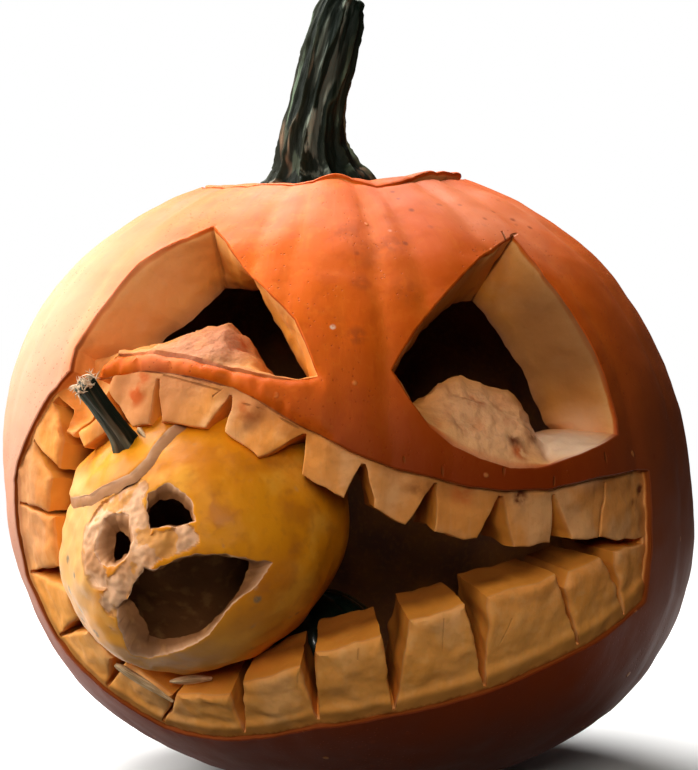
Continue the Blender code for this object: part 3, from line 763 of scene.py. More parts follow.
def orange_rind(paint):
    """The rind's colour and height: streaked and speckled orange, with painted shade that makes it dark
    low down and browner on the right, and painted light that makes it paler on the left and a
    painted sheen on the upper right shoulder."""
    level = paint.vector("NORMALIZE", paint.stretched(1, 1, 0))
    round_it = paint.vector("ADD", level, paint.stretched(0, 0, 2.2))
    streaks = paint.noise(11, 4, round_it)
    fine_streaks = paint.noise(46, 3, round_it)

    rind = paint.mix(paint.noise(9, 3), (0.56, 0.080, 0.0015), (0.74, 0.135, 0.0030))
    rind = paint.coats(
        rind,
        (streaks.between(0.5, 0.72) * 0.35, (0.78, 0.180, 0.010)),
        (paint.attribute("valley").between(0.25, 1.3) * 0.30, (0.80, 0.22, 0.022)),
        (fine_streaks.between(0.56, 0.75) * 0.22, (0.44, 0.056, 0.002)),
        (paint.noise(24, 4).between(0.54, 0.70) * 0.40, (0.44, 0.058, 0.003)),
        (paint.noise(130, 3).between(0.50, 0.68) * 0.22, (0.36, 0.046, 0.003)),
        (paint.noise(210, 2).between(0.56, 0.68) * 0.14, (0.84, 0.24, 0.02)),
    )
    across, back, height_above = (paint.axis(paint.place, k) for k in range(3))
    # Painted shade: the right half darker and redder, away from the light on the left
    rind = paint.mix(across.between(-0.015, 0.035) * 0.50, rind, (0.42, 0.054, 0.001))
    # Painted shade: dark from a little above the middle downwards, where less light falls
    rind = paint.mix(height_above.between(0.205, 0.135) * 0.85, rind, (0.15, 0.015, 0.001))
    # Painted light: the left side made pale peach as if strongly lit, except near the upper lip's tip
    painted_light_left = across.between(-0.045, -0.140) * height_above.between(0.03, 0.15)
    painted_light_left = painted_light_left * (1 - paint.spot(on_egg((-42, 24), 0), 0.032)) * back.between(0.11, -0.02)
    # Painted light on the left side, painted shade along the right edge, and deeper painted shade at the chin
    rind = paint.coats(
        rind,
        (painted_light_left * 0.78, (0.87, 0.46, 0.31)),
        (across.between(0.085, 0.145) * 0.55, (0.20, 0.060, 0.020)),
        (height_above.between(0.085, 0.020) * 0.75, (0.080, 0.016, 0.004)),
    )
    # A painted sheen: a pale patch on the upper right shoulder
    painted_sheen = paint.spot(on_egg((56, 54), 0), 0.050) * paint.noise(16, 3).between(0.25, 0.65)
    rind = paint.mix(painted_sheen * 0.45, rind, (0.82, 0.36, 0.21))
    corks = paint.cells(95).between(0.16, 0.10) * paint.noise(60).between(0.60, 0.64)
    rind = paint.mix(corks * 0.45, rind, (0.76, 0.28, 0.08))
    pores = paint.cells(420).between(0.22, 0.05) * paint.noise(30).between(0.4, 0.6)
    rind = paint.mix(pores * 0.6, rind, (0.28, 0.036, 0.004))
    bruises = paint.cells(120).between(0.22, 0.08) * paint.noise(26, 3).between(0.52, 0.62)
    rind = paint.mix(bruises * 0.65, rind, (0.18, 0.026, 0.004))
    for place, size, strength, tone in MARKS:
        mark = paint.spot(on_egg(place, 0), size) * paint.noise(300, 3).between(0.32, 0.60) * strength
        rind = paint.mix(mark, rind, tone)
    height = paint.noise(55, 2) * 0.4 + corks * 0.5 - pores * 0.3
    return rind, height + paint.noise(330, 2) * 0.14 + fine_streaks * 0.2


def cut_flesh(paint, depth, front):
    """The flesh's colour: it turns from pale to yellow-orange and stringy, with paler and darker
    patches on the pared front, and painted shade makes it dark where the mouth's walls run in."""
    stops = [
        (0.02, (0.44, 0.060, 0.003)), (0.05, (0.58, 0.125, 0.010)), (0.078, (0.80, 0.37, 0.115)),
        (0.17, (0.74, 0.30, 0.075)), (0.42, (0.68, 0.24, 0.042)), (0.75, (0.62, 0.215, 0.024)),
        (0.93, (0.40, 0.14, 0.030)), (1.0, (0.20, 0.080, 0.045)),
    ]
    wander = paint.noise(40, 3)
    flesh = paint.ramp((depth + (wander - 0.5) * 5 * depth.between(1, 6)) * (1 / 32), *stops)
    flesh = paint.mix(front * 0.85, flesh, (0.88, 0.325, 0.066))
    patches = paint.noise(34, 3, paint.stretched(1, 1, 0.6))
    flesh = paint.mix(patches.between(0.50, 0.62) * front * 0.7, flesh, (0.94, 0.49, 0.21))
    flesh = paint.mix(patches.between(0.47, 0.34) * front * 0.6, flesh, (0.78, 0.26, 0.030))
    dry = paint.noise(75, 4).between(0.50, 0.72)
    dry = dry * 0.2 * depth.between(1.5, 3) * depth.between(30, 22)
    flesh = paint.mix(dry, flesh, (0.80, 0.45, 0.21))
    fibres = paint.noise(9, 3, paint.stretched(60, 60, 6))
    flesh = paint.mix(fibres.between(0.56, 0.70) * front * 0.14, flesh, (0.48, 0.15, 0.02))
    flesh = paint.mix(fibres.between(0.44, 0.32) * front * 0.10, flesh, (0.86, 0.52, 0.26))
    mottles = paint.noise(110, 5)
    flesh = paint.coats(
        flesh,
        (mottles.between(0.52, 0.66) * front * 0.35, (0.66, 0.22, 0.028)),
        (mottles.between(0.46, 0.34) * front * 0.30, (0.95, 0.50, 0.19)),
        (paint.noise(420, 2).between(0.52, 0.66) * 0.18, (0.56, 0.22, 0.05)),
    )
    inner_side = front.between(-0.3, -0.9)
    flesh = paint.mix(inner_side * depth.between(3, 6) * 0.7, flesh, (0.78, 0.28, 0.026))
    # Painted shade: the mouth's walls darken as they run in between the teeth
    return paint.mix(inner_side * depth.between(9, 20) * 0.85, flesh, (0.22, 0.060, 0.008))


def stained(paint, flesh, depth, front):
    """The flesh's colour with its dried, rusty and rotten places, with painted light and shade on the
    eyes' walls, the ledge, under the upper lip and on the teeth, and how much of the mounds is there.
    """
    by_lip = paint.attribute("by_lip")
    stain = by_lip * paint.noise(48, 4).between(0.40, 0.62) * depth.between(8, 4)
    flesh = paint.mix(stain * 0.60, flesh, (0.42, 0.115, 0.012))
    flesh = paint.mix(by_lip * depth.between(2.4, 1.4) * 0.9, flesh, (0.20, 0.042, 0.006))
    # Painted shade: a darker strip where the left eye's lower wall meets the upper lip
    for place in ((-38, 26), (-11, 21.5)):
        painted_shade_under_lip = paint.spot(on_egg(place, 0.003), 0.024) * depth.between(7, 2)
        flesh = paint.mix(painted_shade_under_lip * 0.8, flesh, (0.46, 0.155, 0.050))
    # The ledge in the right eye's corner: pale flesh, made paler still by painted light where it faces up
    pale_ledge_and_light = paint.spot(on_egg((42, 11.5), 0.012), 0.026)
    flesh = paint.mix(pale_ledge_and_light * 0.85, flesh, (0.99, 0.70, 0.47))
    mounds = 0
    for place, under, size, tone in PALE_MOUNDS:
        pale = paint.spot(on_egg(place, under), size)
        mounds = pale + mounds
        flesh = paint.mix(pale * 0.85, flesh, tone)
        smudges = paint.noise(80, 4, paint.stretched(1.4, 1, 0.8)).between(0.52, 0.64)
        flesh = paint.mix(smudges * pale * 0.5, flesh, (0.66, 0.24, 0.09))
        pits = paint.noise(190, 4).between(0.50, 0.66)
        flesh = paint.mix(pits * pale * 0.28, flesh, (0.42, 0.15, 0.06))
    # Painted shade on the right eye's side wall, and painted light on the left eye's
    for place, size, strength, tone in EYE_WALL_SHADE_AND_LIGHT:
        flesh = paint.mix(paint.spot(on_egg(place, 0.012), size) * strength, flesh, tone)
    for place, size, strength, tone in DULL_TEETH:
        flesh = paint.mix(paint.spot(on_egg(place, 0.003), size) * front * strength, flesh, tone)
    across, _, height_above = (paint.axis(paint.place, k) for k in range(3))
    # Painted shade on the upper teeth at the right
    painted_shade_upper_right = across.between(-0.02, 0.03) * height_above.between(0.10, 0.13) * front
    flesh = paint.mix(painted_shade_upper_right * 0.38, flesh, (0.42, 0.17, 0.055))
    # Painted light: the lower teeth's fronts brighter, lower down
    flesh = paint.mix(height_above.between(0.11, 0.075) * front * 0.35, flesh, (0.98, 0.47, 0.10))
    rot = paint.noise(170, 4).between(0.35, 0.60)
    for place, under, size, strength, tone in ROT:
        flesh = paint.mix(paint.spot(on_egg(place, under), size) * rot * strength, flesh, tone)
    return flesh, mounds


def rind_and_flesh(name):
    """Waxy orange rind, and under it flesh, with knife cuts through both."""
    paint = Paint(name)
    depth = paint.attribute("depth") * 1000  # in millimetres
    front = paint.attribute("front")
    rind, rind_height = orange_rind(paint)
    flesh, mounds = stained(paint, cut_flesh(paint, depth, front), depth, front)
    is_flesh = depth.between(0.25, 0.5)
    color = paint.mix(is_flesh, rind, flesh)
    cut = 0
    for start, start_depth, end, end_depth, width, strength in CUTS:
        cut = paint.line(on_egg(start, start_depth), on_egg(end, end_depth), width) * strength + cut
    cut = cut * paint.noise(120, 2).between(0.2, 0.5)
    color = paint.mix(cut, color, (0.20, 0.055, 0.010))
    lumps = paint.noise(70, 3) * 0.22 + paint.noise(280, 4) * (0.26 + mounds * 0.9)
    lumps = lumps + paint.noise(12, 3, paint.stretched(45, 45, 6)) * 0.10
    height = rind_height * (1 - is_flesh) * 0.5 + lumps * is_flesh - cut * 0.6
    rough = 0.46 + paint.noise(38, 3) * 0.16 + is_flesh * 0.14
    return paint.finish(
        base_color=color, roughness=rough, normal=paint.bump(height, 0.0012, 0.8),
        specular_ior_level=0.07, subsurface_weight=0.10, subsurface_radius=(1.0, 0.35, 0.12),
        subsurface_scale=0.003,
    )


orange_finish = rind_and_flesh("orange_rind_and_flesh")
shell.data.materials.append(orange_finish)
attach(shell, "root")
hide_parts("pumpkin_shell")

# ---------------------------------------------------------------------------------------------
# The lid: the top of the same pumpkin, cut out on a slant so that it rests in its seat. Its edge
# has dried and curled up along the front and right, where the cut side shows.
# ---------------------------------------------------------------------------------------------
lid_fruit = Fruit(0.125, pole=-1)
lid_top, lid_bottom = (on_cone(rim_lons, LID_RADIUS - 0.0009 + uneven, depth) for depth in (0, WALL))
lid_rings = [lid_fruit.ring(lid_fruit.beside(lid_top, -0.0009), 0.0)]
lid_rings.append(lid_fruit.ring(lid_fruit.beside(lid_top, -0.0003), 0.0003))
lid_rings += lid_fruit.loft(lid_top, lid_bottom, straight, 0.0009, wall_depth(lid_bottom), 14)
lid_fruit.join(lid_rings)
lid_fruit.sheet([lid_rings[0]], [(0.0016, 1)], no_depth)
lid_fruit.sheet([lid_rings[-1]], [(0.003, 1)], wall_depth)
# Each curl of the edge: longitude, width and height
CURLS = [(3, 9, 0.0018), (54, 20, 0.0030), (78, 12, 0.0014), (200, 40, 0.0006)]


def place_lid(ways, depths):
    """The shell's own places, with the edge curled up."""
    points = place_shell(ways, depths)
    curl = np.full(len(points), 0.0005)
    for middle, width, height in CURLS:
        curl += height * swelling(longitude(points), middle, width)
    points[:, 2] += curl * np.clip(np.hypot(points[:, 0], points[:, 1]) / LID_RADIUS, 0, 1) ** 4
    return points


lid = lid_fruit.piece("lid", place_lid, valley=valleys(lid_fruit.ways), by_lip=0 * lid_fruit.depths)
lid.data.materials.append(orange_finish)
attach(lid, "root")
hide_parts("pumpkin_lid")

# ---------------------------------------------------------------------------------------------
# The stem: the pumpkin's own tall stalk, dried dark green and hard, with rough ridges that run
# down into a flared foot on the lid. It grows out of the lid, and was cut off at the top.
# ---------------------------------------------------------------------------------------------


class Shape(Nodes):
    """A geometry tree while its nodes are put together."""

    def __init__(self, name, **inputs):
        """Each input's title has its socket type and its first value."""
        super().__init__(bpy.data.node_groups.new(name, "GeometryNodeTree"))
        sockets = self.tree.interface
        sockets.new_socket("Geometry", in_out="INPUT", socket_type="NodeSocketGeometry")
        sockets.new_socket("Geometry", in_out="OUTPUT", socket_type="NodeSocketGeometry")
        for title, (kind, value) in inputs.items():
            socket = sockets.new_socket(title, in_out="INPUT", socket_type="NodeSocket" + kind)
            if value is not None:
                socket.default_value = value
        self.group = self.tree.nodes.new("NodeGroupInput")

    def given(self, title):
        return Value(self, self.group.outputs[title])

    def named(self, title, kind="FLOAT"):
        return self.node("GeometryNodeInputNamedAttribute", {"data_type": kind}, {"Name": title})

    def store(self, geometry, title, value, kind="FLOAT"):
        settings = {"data_type": kind, "domain": "POINT"}
        sockets = {"Geometry": geometry, "Name": title, "Value": value}
        return self.node("GeometryNodeStoreNamedAttribute", settings, sockets)

    def close(self, geometry):
        """The tree's last nodes."""
        geometry = self.node("GeometryNodeSetShadeSmooth", (), {0: geometry})
        geometry = self.node("GeometryNodeRealizeInstances", (), {0: geometry})
        geometry = self.node("GeometryNodeSetMaterial", (), {0: geometry, "Material": self.given("Material")})
        self.set(self.tree.nodes.new("NodeGroupOutput").inputs[0], geometry)

    def grow(self, mesh, name, **values):
        """A piece: the plain mesh that the tree makes from a mesh and its inputs' values."""
        thing = bpy.data.objects.new(name, mesh)
        bpy.context.scene.collection.objects.link(thing)
        modifier = thing.modifiers.new("shape", "NODES")
        modifier.node_group = self.tree
        for socket in self.tree.interface.items_tree:
            if socket.name in values:
                modifier[socket.identifier] = values[socket.name]
        bpy.context.view_layer.update()
        plain = bpy.data.meshes.new_from_object(thing.evaluated_get(bpy.context.evaluated_depsgraph_get()))
        thing.modifiers.remove(modifier)
        thing.data = plain
        return thing


def stalk_tree():
    """A ridged stalk along a line of points, whose attribute thick is the radius there."""
    shape = Shape(
        "ridged_stalk", Sides=("Int", 96), Ridges=("Float", 6.0), Ridge_Depth=("Float", 0.2),
        Flare=("Float", 0.0), Flare_Length=("Float", 0.03), Twist=("Float", 0.0),
        Roughness=("Float", 0.1), Seed=("Float", 0.0), Material=("Material", None),
    )
    line = shape.node("GeometryNodeMeshToCurve", (), {0: shape.given("Geometry")})
    length = shape.node("GeometryNodeSplineParameter", output="Length")
    line = shape.store(line, "along", length)
    sockets = {"Resolution": shape.given("Sides"), "Radius": 1.0}
    ring = shape.node("GeometryNodeCurvePrimitiveCircle", (), sockets)
    ring = shape.store(ring, "side", shape.node("GeometryNodeInputPosition"), "FLOAT_VECTOR")
    sockets = {"Curve": line, "Profile Curve": ring, "Scale": shape.named("thick"), "Fill Caps": True}
    mesh = shape.node("GeometryNodeCurveToMesh", (), sockets)

    along, thick = shape.named("along"), shape.named("thick")
    side = shape.named("side", "FLOAT_VECTOR")
    x, y = (shape.axis(side, k) for k in range(2))
    seed = shape.given("Seed")
    straight = shape.node("ShaderNodeCombineXYZ", (), {0: x * thick, 1: y * thick, 2: along})
    lengthwise = shape.node("ShaderNodeCombineXYZ", (), {0: x + seed, 1: y, 2: along * 22})
    stray = shape.noise(0.9, 2.0, lengthwise) - 0.5
    angle = y.math("ARCTAN2", x) + shape.given("Twist") * along + stray * 1.5
    wave = (angle * shape.given("Ridges") * 0.5).math("SINE").math("ABSOLUTE")
    ridge = 0.55 - wave.math("POWER", 0.8)
    foot = (1 - along.math("DIVIDE", shape.given("Flare_Length"))).math("MAXIMUM", 0.0)
    fine = shape.noise(4.2, 3.0, lengthwise) - 0.5
    coarse = shape.noise(1.6, 2.0, lengthwise) - 0.5
    rise = ridge * shape.given("Ridge_Depth") * (1 + foot * shape.given("Flare"))
    rise = (rise + (fine + coarse * 1.6) * shape.given("Roughness")) * thick
    out = shape.scaled(shape.node("GeometryNodeInputNormal"), rise)
    mesh = shape.store(mesh, "straight", straight, "FLOAT_VECTOR")
    mesh = shape.store(mesh, "ridge", ridge)
    shape.close(shape.node("GeometryNodeSetPosition", (), {"Geometry": mesh, "Offset": out}))
    return shape


def stalk_line(stations, spacing):
    """A line mesh along a smooth path through stations, (place, radius), with a blunt cut end."""
    rows = np.array([(*place, radius) for place, radius in stations], float)
    rows = np.vstack((2 * rows[0] - rows[1], rows, 2 * rows[-1] - rows[-2]))
    path = []
    for a, b, c, d in zip(rows, rows[1:], rows[2:], rows[3:]):
        steps = max(2, round(np.linalg.norm(c[:3] - b[:3]) / spacing))
        square, cube = 2 * a - 5 * b + 4 * c - d, 3 * b - a - 3 * c + d
        for t in np.arange(steps) / steps:
            path.append(0.5 * (2 * b + (c - a) * t + square * t**2 + cube * t**3))
    end = rows[-2]
    ahead = (end - path[-1]) / np.linalg.norm((end - path[-1])[:3])
    path.append(end)
    for forward, share in ((0.05, 0.93), (0.09, 0.8), (0.10, 0.5), (0.08, 0.2)):
        path.append(np.append((end + ahead * forward * end[3])[:3], end[3] * share))
    path = np.array(path)
    mesh = bpy.data.meshes.new("line")
    mesh.from_pydata(path[:, :3].tolist(), [(i, i + 1) for i in range(len(path) - 1)], [])
    mesh.attributes.new("thick", "FLOAT", "POINT").data.foreach_set("value", path[:, 3])
    return mesh


def dark_stalk(name, light):
    """Dark green stalk, hard and waxy, with grey and straw-coloured streaks along its ridges, and pale
    streaks painted as a highlight down its front and the side opposite.
    """
    paint = Paint(name)
    straight = paint.attribute("straight", "Vector")
    lengthwise = paint.vector("MULTIPLY", straight, (1, 1, 0.10))
    ridge = paint.attribute("ridge")
    streaks = paint.noise(190, 4, lengthwise)
    wide = paint.noise(70, 3, lengthwise)
    color = paint.mix(wide.between(0.35, 0.65), (0.005, 0.010, 0.006), (0.014, 0.017, 0.009))
    color = paint.mix(streaks.between(0.53, 0.62) * wide.between(0.42, 0.55), color, (0.12, 0.17, 0.11))
    straw = paint.noise(120, 3, paint.vector("ADD", lengthwise, (5, 5, 5)))
    color = paint.mix(straw.between(0.56, 0.66) * light, color, (0.34, 0.23, 0.14))
    color = paint.mix(ridge.between(0.30, 0.52) * 0.15, color, (0.12, 0.14, 0.085))
    # A painted highlight: pale streaks down the side that faces the front, and the one opposite
    front_highlight = paint.axis(straight, 1).math("ABSOLUTE").between(0.0075, 0.0015)
    color = paint.mix(streaks.between(0.50, 0.58) * front_highlight * light, color, (0.30, 0.35, 0.28))
    color = paint.mix(ridge.between(-0.05, -0.3) * 0.7, color, (0.006, 0.010, 0.007))
    height = streaks * 0.6 + paint.noise(600, 3, lengthwise) * 0.4
    rough = 0.45 + paint.noise(90, 2) * 0.25
    return paint.finish(
        base_color=color, roughness=rough, normal=paint.bump(height, 0.0018, 1.0),
        specular_ior_level=0.07,
    )


STEM = [
    ((-0.0057, 0, 0.122), 0.0235), ((-0.0060, 0, 0.131), 0.0225), ((-0.0068, 0, 0.138), 0.0180),
    ((-0.0078, 0, 0.150), 0.0144), ((-0.0052, 0, 0.168), 0.0117), ((-0.0005, 0, 0.186), 0.0118),
    ((0.0025, 0, 0.199), 0.0112), ((0.0051, 0, 0.2080), 0.0095), ((0.0074, 0, 0.2122), 0.0080),
]
stalk = stalk_tree()
on_middle = [(Vector(place) + Vector(MIDDLE), radius) for place, radius in STEM]
stem = stalk.grow(
    stalk_line(on_middle, 0.0008), "stem", Sides=160, Ridges=9.0, Ridge_Depth=0.17, Flare=1.0,
    Flare_Length=0.03, Twist=-4.0, Roughness=0.19, Seed=2.0,
    Material=dark_stalk("dark_green_stalk", 0.65),
)
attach(stem, "root")
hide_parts("pumpkin_lid")

# ---------------------------------------------------------------------------------------------
# The small pumpkin: thin-walled and yellow, hollow, with two eyes and a mouth cut ragged through its
# wall. Its rind has been peeled round them. The big teeth hold it.
# ---------------------------------------------------------------------------------------------
SMALL_RIGHT_EYE = [
    ((11.9, 49.7), (6.3, 45.9)), ((19.8, 48.9), (14.3, 47.2)), ((26.8, 47.4), (18.2, 45.0)),
    ((28.3, 43.1), (23.2, 41.8)), ((29.6, 38.5), (25.3, 37.1)), ((28.7, 34.6), (25.4, 32.9)),
    ((24.9, 27.7), (23.8, 29.0)), ((20.2, 29.1), (19.5, 30.4)), ((16.7, 30.9), (15.4, 32.3)),
    ((11.5, 33.6), (9.7, 35.0)), ((5.1, 36.3), (3.5, 37.9)), ((7.2, 43.2), (4.3, 43.5)),
]
SMALL_LEFT_EYE = [
    ((-13.6, 49.7), (-18.8, 42.8)), ((-8.1, 47.9), (-15.7, 41.2)), ((-4.3, 45.4), (-12.4, 38.6)),
    ((-4.2, 40.1), (-11.4, 37.0)), ((-5.6, 35.1), (-11.9, 34.4)), ((-9.3, 30.7), (-14.4, 32.0)),
    ((-13.8, 29.7), (-19.7, 30.7)), ((-18.3, 28.9), (-23.3, 30.5)), ((-23.1, 29.5), (-24.2, 32.8)),
    ((-27.9, 31.7), (-23.7, 35.7)), ((-31.0, 36.9), (-22.6, 38.1)), ((-29.5, 42.3), (-22.4, 40.7)),
    ((-24.0, 48.2), (-21.4, 42.3)),
]
SMALL_MOUTH = [
    ((-4.6, 23.9), (-7.3, 23.1)), ((-0.5, 21.5), (-3.2, 20.5)), ((5.6, 21.1), (3.7, 20.2)),
    ((10.6, 20.0), (9.2, 19.0)), ((18.0, 17.1), (16.9, 16.0)), ((25.3, 11.5), (24.9, 9.9)),
    ((28.9, 7.3), (28.4, 5.4)), ((31.4, 3.6), (30.7, 1.7)), ((36.5, -2.3), (28.7, -0.8)),
    ((31.3, -3.9), (25.0, -3.1)), ((26.9, -5.5), (20.9, -5.2)), ((22.1, -5.7), (16.5, -6.6)),
    ((16.9, -5.3), (11.6, -7.9)), ((11.8, -6.3), (6.2, -9.2)), ((5.6, -8.8), (1.1, -10.0)),
    ((-1.1, -10.4), (-4.2, -11.0)), ((-8.1, -11.6), (-9.8, -10.2)), ((-15.4, -11.5), (-16.2, -8.9)),
    ((-24.0, -12.3), (-22.1, -7.9)), ((-32.2, -12.8), (-25.0, -4.9)), ((-34.6, -10.1), (-22.8, 0.1)),
    ((-35.7, -7.9), (-21.3, 4.0)), ((-32.3, -0.4), (-20.7, 7.8)), ((-29.8, 6.1), (-21.5, 10.8)),
    ((-26.5, 12.9), (-22.8, 13.4)), ((-21.1, 15.2), (-22.6, 14.7)), ((-18.8, 15.4), (-21.5, 15.3)),
    ((-14.0, 19.2), (-18.0, 18.4)), ((-8.8, 21.9), (-12.4, 21.1)),
]
SMALL_LID_EDGE = [
    (-74.8, 49.7), (-55.6, 54.4), (-40.2, 55.7), (-25.6, 58.9), (-8.6, 59.0), (5.6, 58.5), (27.5, 60.1),
    (37.7, 62.2), (50, 63.4), (64, 62.8), (72.5, 60.3), (95, 58), (120, 57), (145, 55), (170, 54),
    (195, 53), (220, 51), (250, 49), (270, 48.5),
]
# The middles of the peeled places, in lines
PEELED = [
    [(17, 25.5), (9, 27.5), (2, 29), (-6, 27), (-13, 24), (-22, 20), (-27, 15)],
    [(-5, 28), (1, 40), (-2, 52)],
    [(6, 54), (-8, 54), (-24, 52), (-33, 45), (-35, 36), (-30, 27)],
]
SMALL_RADIUS, SMALL_WALL = 0.058, 0.0055
RAGGED = ((0.010, 0.10), (0.0085, 0.035), (0.0042, 0.016))


def small_skin(ways):
    """How far the small pumpkin's skin is from its middle: flat ribs, and lumps, most on its left."""
    radius = 1 / np.linalg.norm(ways / SMALL_SIZE, axis=1)
    lon = np.arctan2(ways[:, 0], -ways[:, 1]) + 0.3 * grain(ways, 0.8, 3)
    level = np.hypot(ways[:, 0], ways[:, 1])
    lumpy = 0.35 + 0.65 * ease(ways[:, 0], 0.25, -0.45)
    radius += 0.0007 * np.cos(lon * 9) * level
    return radius + lumpy * (0.0013 * grain(ways, 0.30, 21) + 0.0009 * grain(ways, 0.12, 22))


def peeled(ways):
    """1 where the rind was peeled off."""
    near = np.max([near_line(ways, line, 6.4) for line in PEELED], axis=0)
    torn = 0.40 * grain(ways, 0.10, 15) + 0.35 * grain(ways, 0.035, 16)
    return ease(near + torn, 0.35, 0.55)


def small_wall(ways):
    """How thick the small pumpkin's wall is."""
    return SMALL_WALL + 0.0006 * grain(ways, 0.2, 9)


def to_small_frame(points):
    """Points in the small pumpkin's own frame, moved to where it sits."""
    turn = np.array(SMALL_FRAME.to_3x3())
    return points @ turn.T + np.array(SMALL_FRAME.translation)


small = Fruit(SMALL_RADIUS)
small_skin_rings, small_inner_rings = [], []
for pairs in (SMALL_RIGHT_EYE, SMALL_LEFT_EYE, SMALL_MOUTH):
    outer, inner = zip(*pairs)
    outer, inner = trace(outer, 0.0007, extra=to_ways(inner), radius=SMALL_RADIUS, wavers=RAGGED)
    inner = jagged(inner, 0.012, 0.05, 31)
    small_skin_rings.append(small.ring(small.beside(outer, 0.0005), 0.0))
    rings = [small_skin_rings[-1], small.ring(small.beside(outer, 0.0001), 0.0002)]
    rings += small.loft(outer, inner, np.ones(len(outer)), 0.0006, small_wall(inner), 7)
    rings.append(small.ring(small.beside(inner, 0.0004), small_wall(inner) + 0.0002))
    small_inner_rings.append(rings[-1])
    small.join(rings)
seat_edge, _ = trace(SMALL_LID_EDGE, 0.0010, radius=0.034, wavers=((0.004, 0.10),))
seat_inner = small.beside(seat_edge, 0.0040)
rings = [small.ring(small.beside(seat_edge, -0.0004), 0.0)]
rings += small.loft(seat_edge, seat_inner, np.ones(len(seat_edge)), 0.0004, small_wall(seat_inner), 6)
small.join(rings)
small.sheet(small_skin_rings + [rings[0]], [(0.0008, 0.007), (0.0014, 1)], no_depth)
small.sheet(small_inner_rings + [rings[-1]], [(0.0012, 0.004), (0.0026, 1)], small_wall)


def place_small(ways, depths):
    """Where the small pumpkin's points are. Its peeled flesh and cut edges are rough and stringy."""
    skinned = peeled(ways) * (1 - ease(depths, 0, 0.002))
    lumps = 0.0011 * grain(ways, 0.11, 17) + 0.0006 * grain(ways, 0.04, 18)
    radius = small_skin(ways) - depths + skinned * (lumps - 0.0006)
    points = ways * radius[:, None]
    rough = (ease(depths, 0.0001, 0.0006) * 0.9)[:, None]
    push = 0.0005 * shake(points, 0.006, 1, 4, 8) + 0.0003 * shake(points, 0.0022, 2, 5, 9)
    return to_small_frame(points + push * rough)


small_shell = small.piece("small_shell", place_small, peeled=peeled(small.ways))


def on_small(place, depth=0.0):
    """The point at a place on the small pumpkin, so far under its skin."""
    way = to_ways([place])
    return Vector(to_small_frame(way * (small_skin(way) - depth)[:, None])[0])


# Grey-green spots on the small pumpkin's rind: place and size
SPOTS = [
    ((-37.8, 36.1), 0.0032), ((-52.7, 13.2), 0.0030), ((-57.7, 19.9), 0.0028), ((-24.9, 32.4), 0.0016),
    ((-16.7, 20.0), 0.0020), ((-60.7, 31.1), 0.0026), ((-48.9, 27.2), 0.0018), ((-46, 4), 0.0026),
    ((-60, 6), 0.0020), ((17.9, 29.7), 0.0022), ((24, -10.5), 0.0024), ((-70, 24), 0.0022),
]


def yellow_rind(name):
    """Yellow rind, cream on the left and bright gold low down as painted light, ochre on the right, with
    grey-green spots, and raw flesh.
    """
    paint = Paint(name)
    depth, bare = paint.attribute("depth") * 1000, paint.attribute("peeled")
    # Painted light: the left side, where the light falls strongest, is made cream
    lit_cream_side = paint.spot(on_small((-72, 32)), 0.048)
    tone = paint.noise(28, 3)
    rind = paint.mix(tone.between(0.35, 0.65), (0.60, 0.185, 0.003), (0.76, 0.275, 0.006))
    rind = paint.coats(
        rind,
        (paint.noise(48, 4).between(0.50, 0.66) * 0.55, (0.84, 0.40, 0.045)),
        (paint.noise(60, 3).between(0.48, 0.66) * 0.6, (0.46, 0.130, 0.008)),
        (paint.noise(240, 3).between(0.52, 0.68) * 0.2, (0.44, 0.14, 0.02)),
    )
    cream = (lit_cream_side + (tone - 0.5) * 0.5).between(0.1, 0.75)
    rind = paint.mix(cream * 0.6, rind, (0.88, 0.55, 0.24))
    rind = paint.mix(paint.noise(45, 3).between(0.5, 0.68) * lit_cream_side * 0.6, rind, (0.74, 0.38, 0.08))
    # Painted light: the lower part made a brighter gold, lifting its shade
    low = paint.axis(paint.place, 2).between(0.105, 0.070)
    rind = paint.mix(low * 0.85, rind, (0.98, 0.42, 0.050))
    for place, size in SPOTS:
        mark = paint.spot(on_small(place), size) * paint.noise(420, 2).between(0.30, 0.55)
        rind = paint.mix(mark * 0.75, rind, (0.13, 0.13, 0.085))
    bare_flesh = paint.mix(paint.noise(62, 4).between(0.38, 0.60), (0.48, 0.22, 0.09), (0.80, 0.46, 0.26))
    left_on = paint.noise(95, 4).between(0.52, 0.57)
    bare_flesh = paint.mix(left_on * 0.75, bare_flesh, (0.66, 0.27, 0.045))
    cracks = (paint.noise(90, 3) - 0.5).math("ABSOLUTE").between(0.012, 0.002)
    cracks = cracks * paint.noise(50).between(0.5, 0.6)
    bare_flesh = paint.mix(cracks * 0.4, bare_flesh, (0.40, 0.18, 0.07))
    skin_color = paint.mix(bare, rind, bare_flesh)
    skin_color = paint.mix(bare * (1 - bare) * 2.0, skin_color, (0.42, 0.17, 0.045))
    wall = paint.ramp(
        depth * (1 / 6), (0.05, (0.78, 0.46, 0.28)), (0.20, (0.54, 0.26, 0.120)),
        (0.55, (0.26, 0.105, 0.036)), (1.0, (0.22, 0.080, 0.024)),
    )
    wall = paint.mix(paint.noise(160, 4).between(0.50, 0.70) * 0.5, wall, (0.52, 0.24, 0.08))
    is_wall = depth.between(0.1, 0.3)
    color = paint.mix(is_wall, skin_color, wall)
    raw = bare * (1 - is_wall) + is_wall
    height = paint.noise(120, 3) * 0.35 * (1 - raw) + paint.noise(190, 3) * raw * 0.5
    height = height + paint.noise(500, 3) * 0.10
    rough = 0.36 + raw * 0.26 + paint.noise(40, 3) * 0.12
    return paint.finish(
        base_color=color, roughness=rough, normal=paint.bump(height, 0.0009, 0.9),
        specular_ior_level=0.14, subsurface_weight=0.10, subsurface_radius=(1.0, 0.5, 0.2),
        subsurface_scale=0.002,
    )


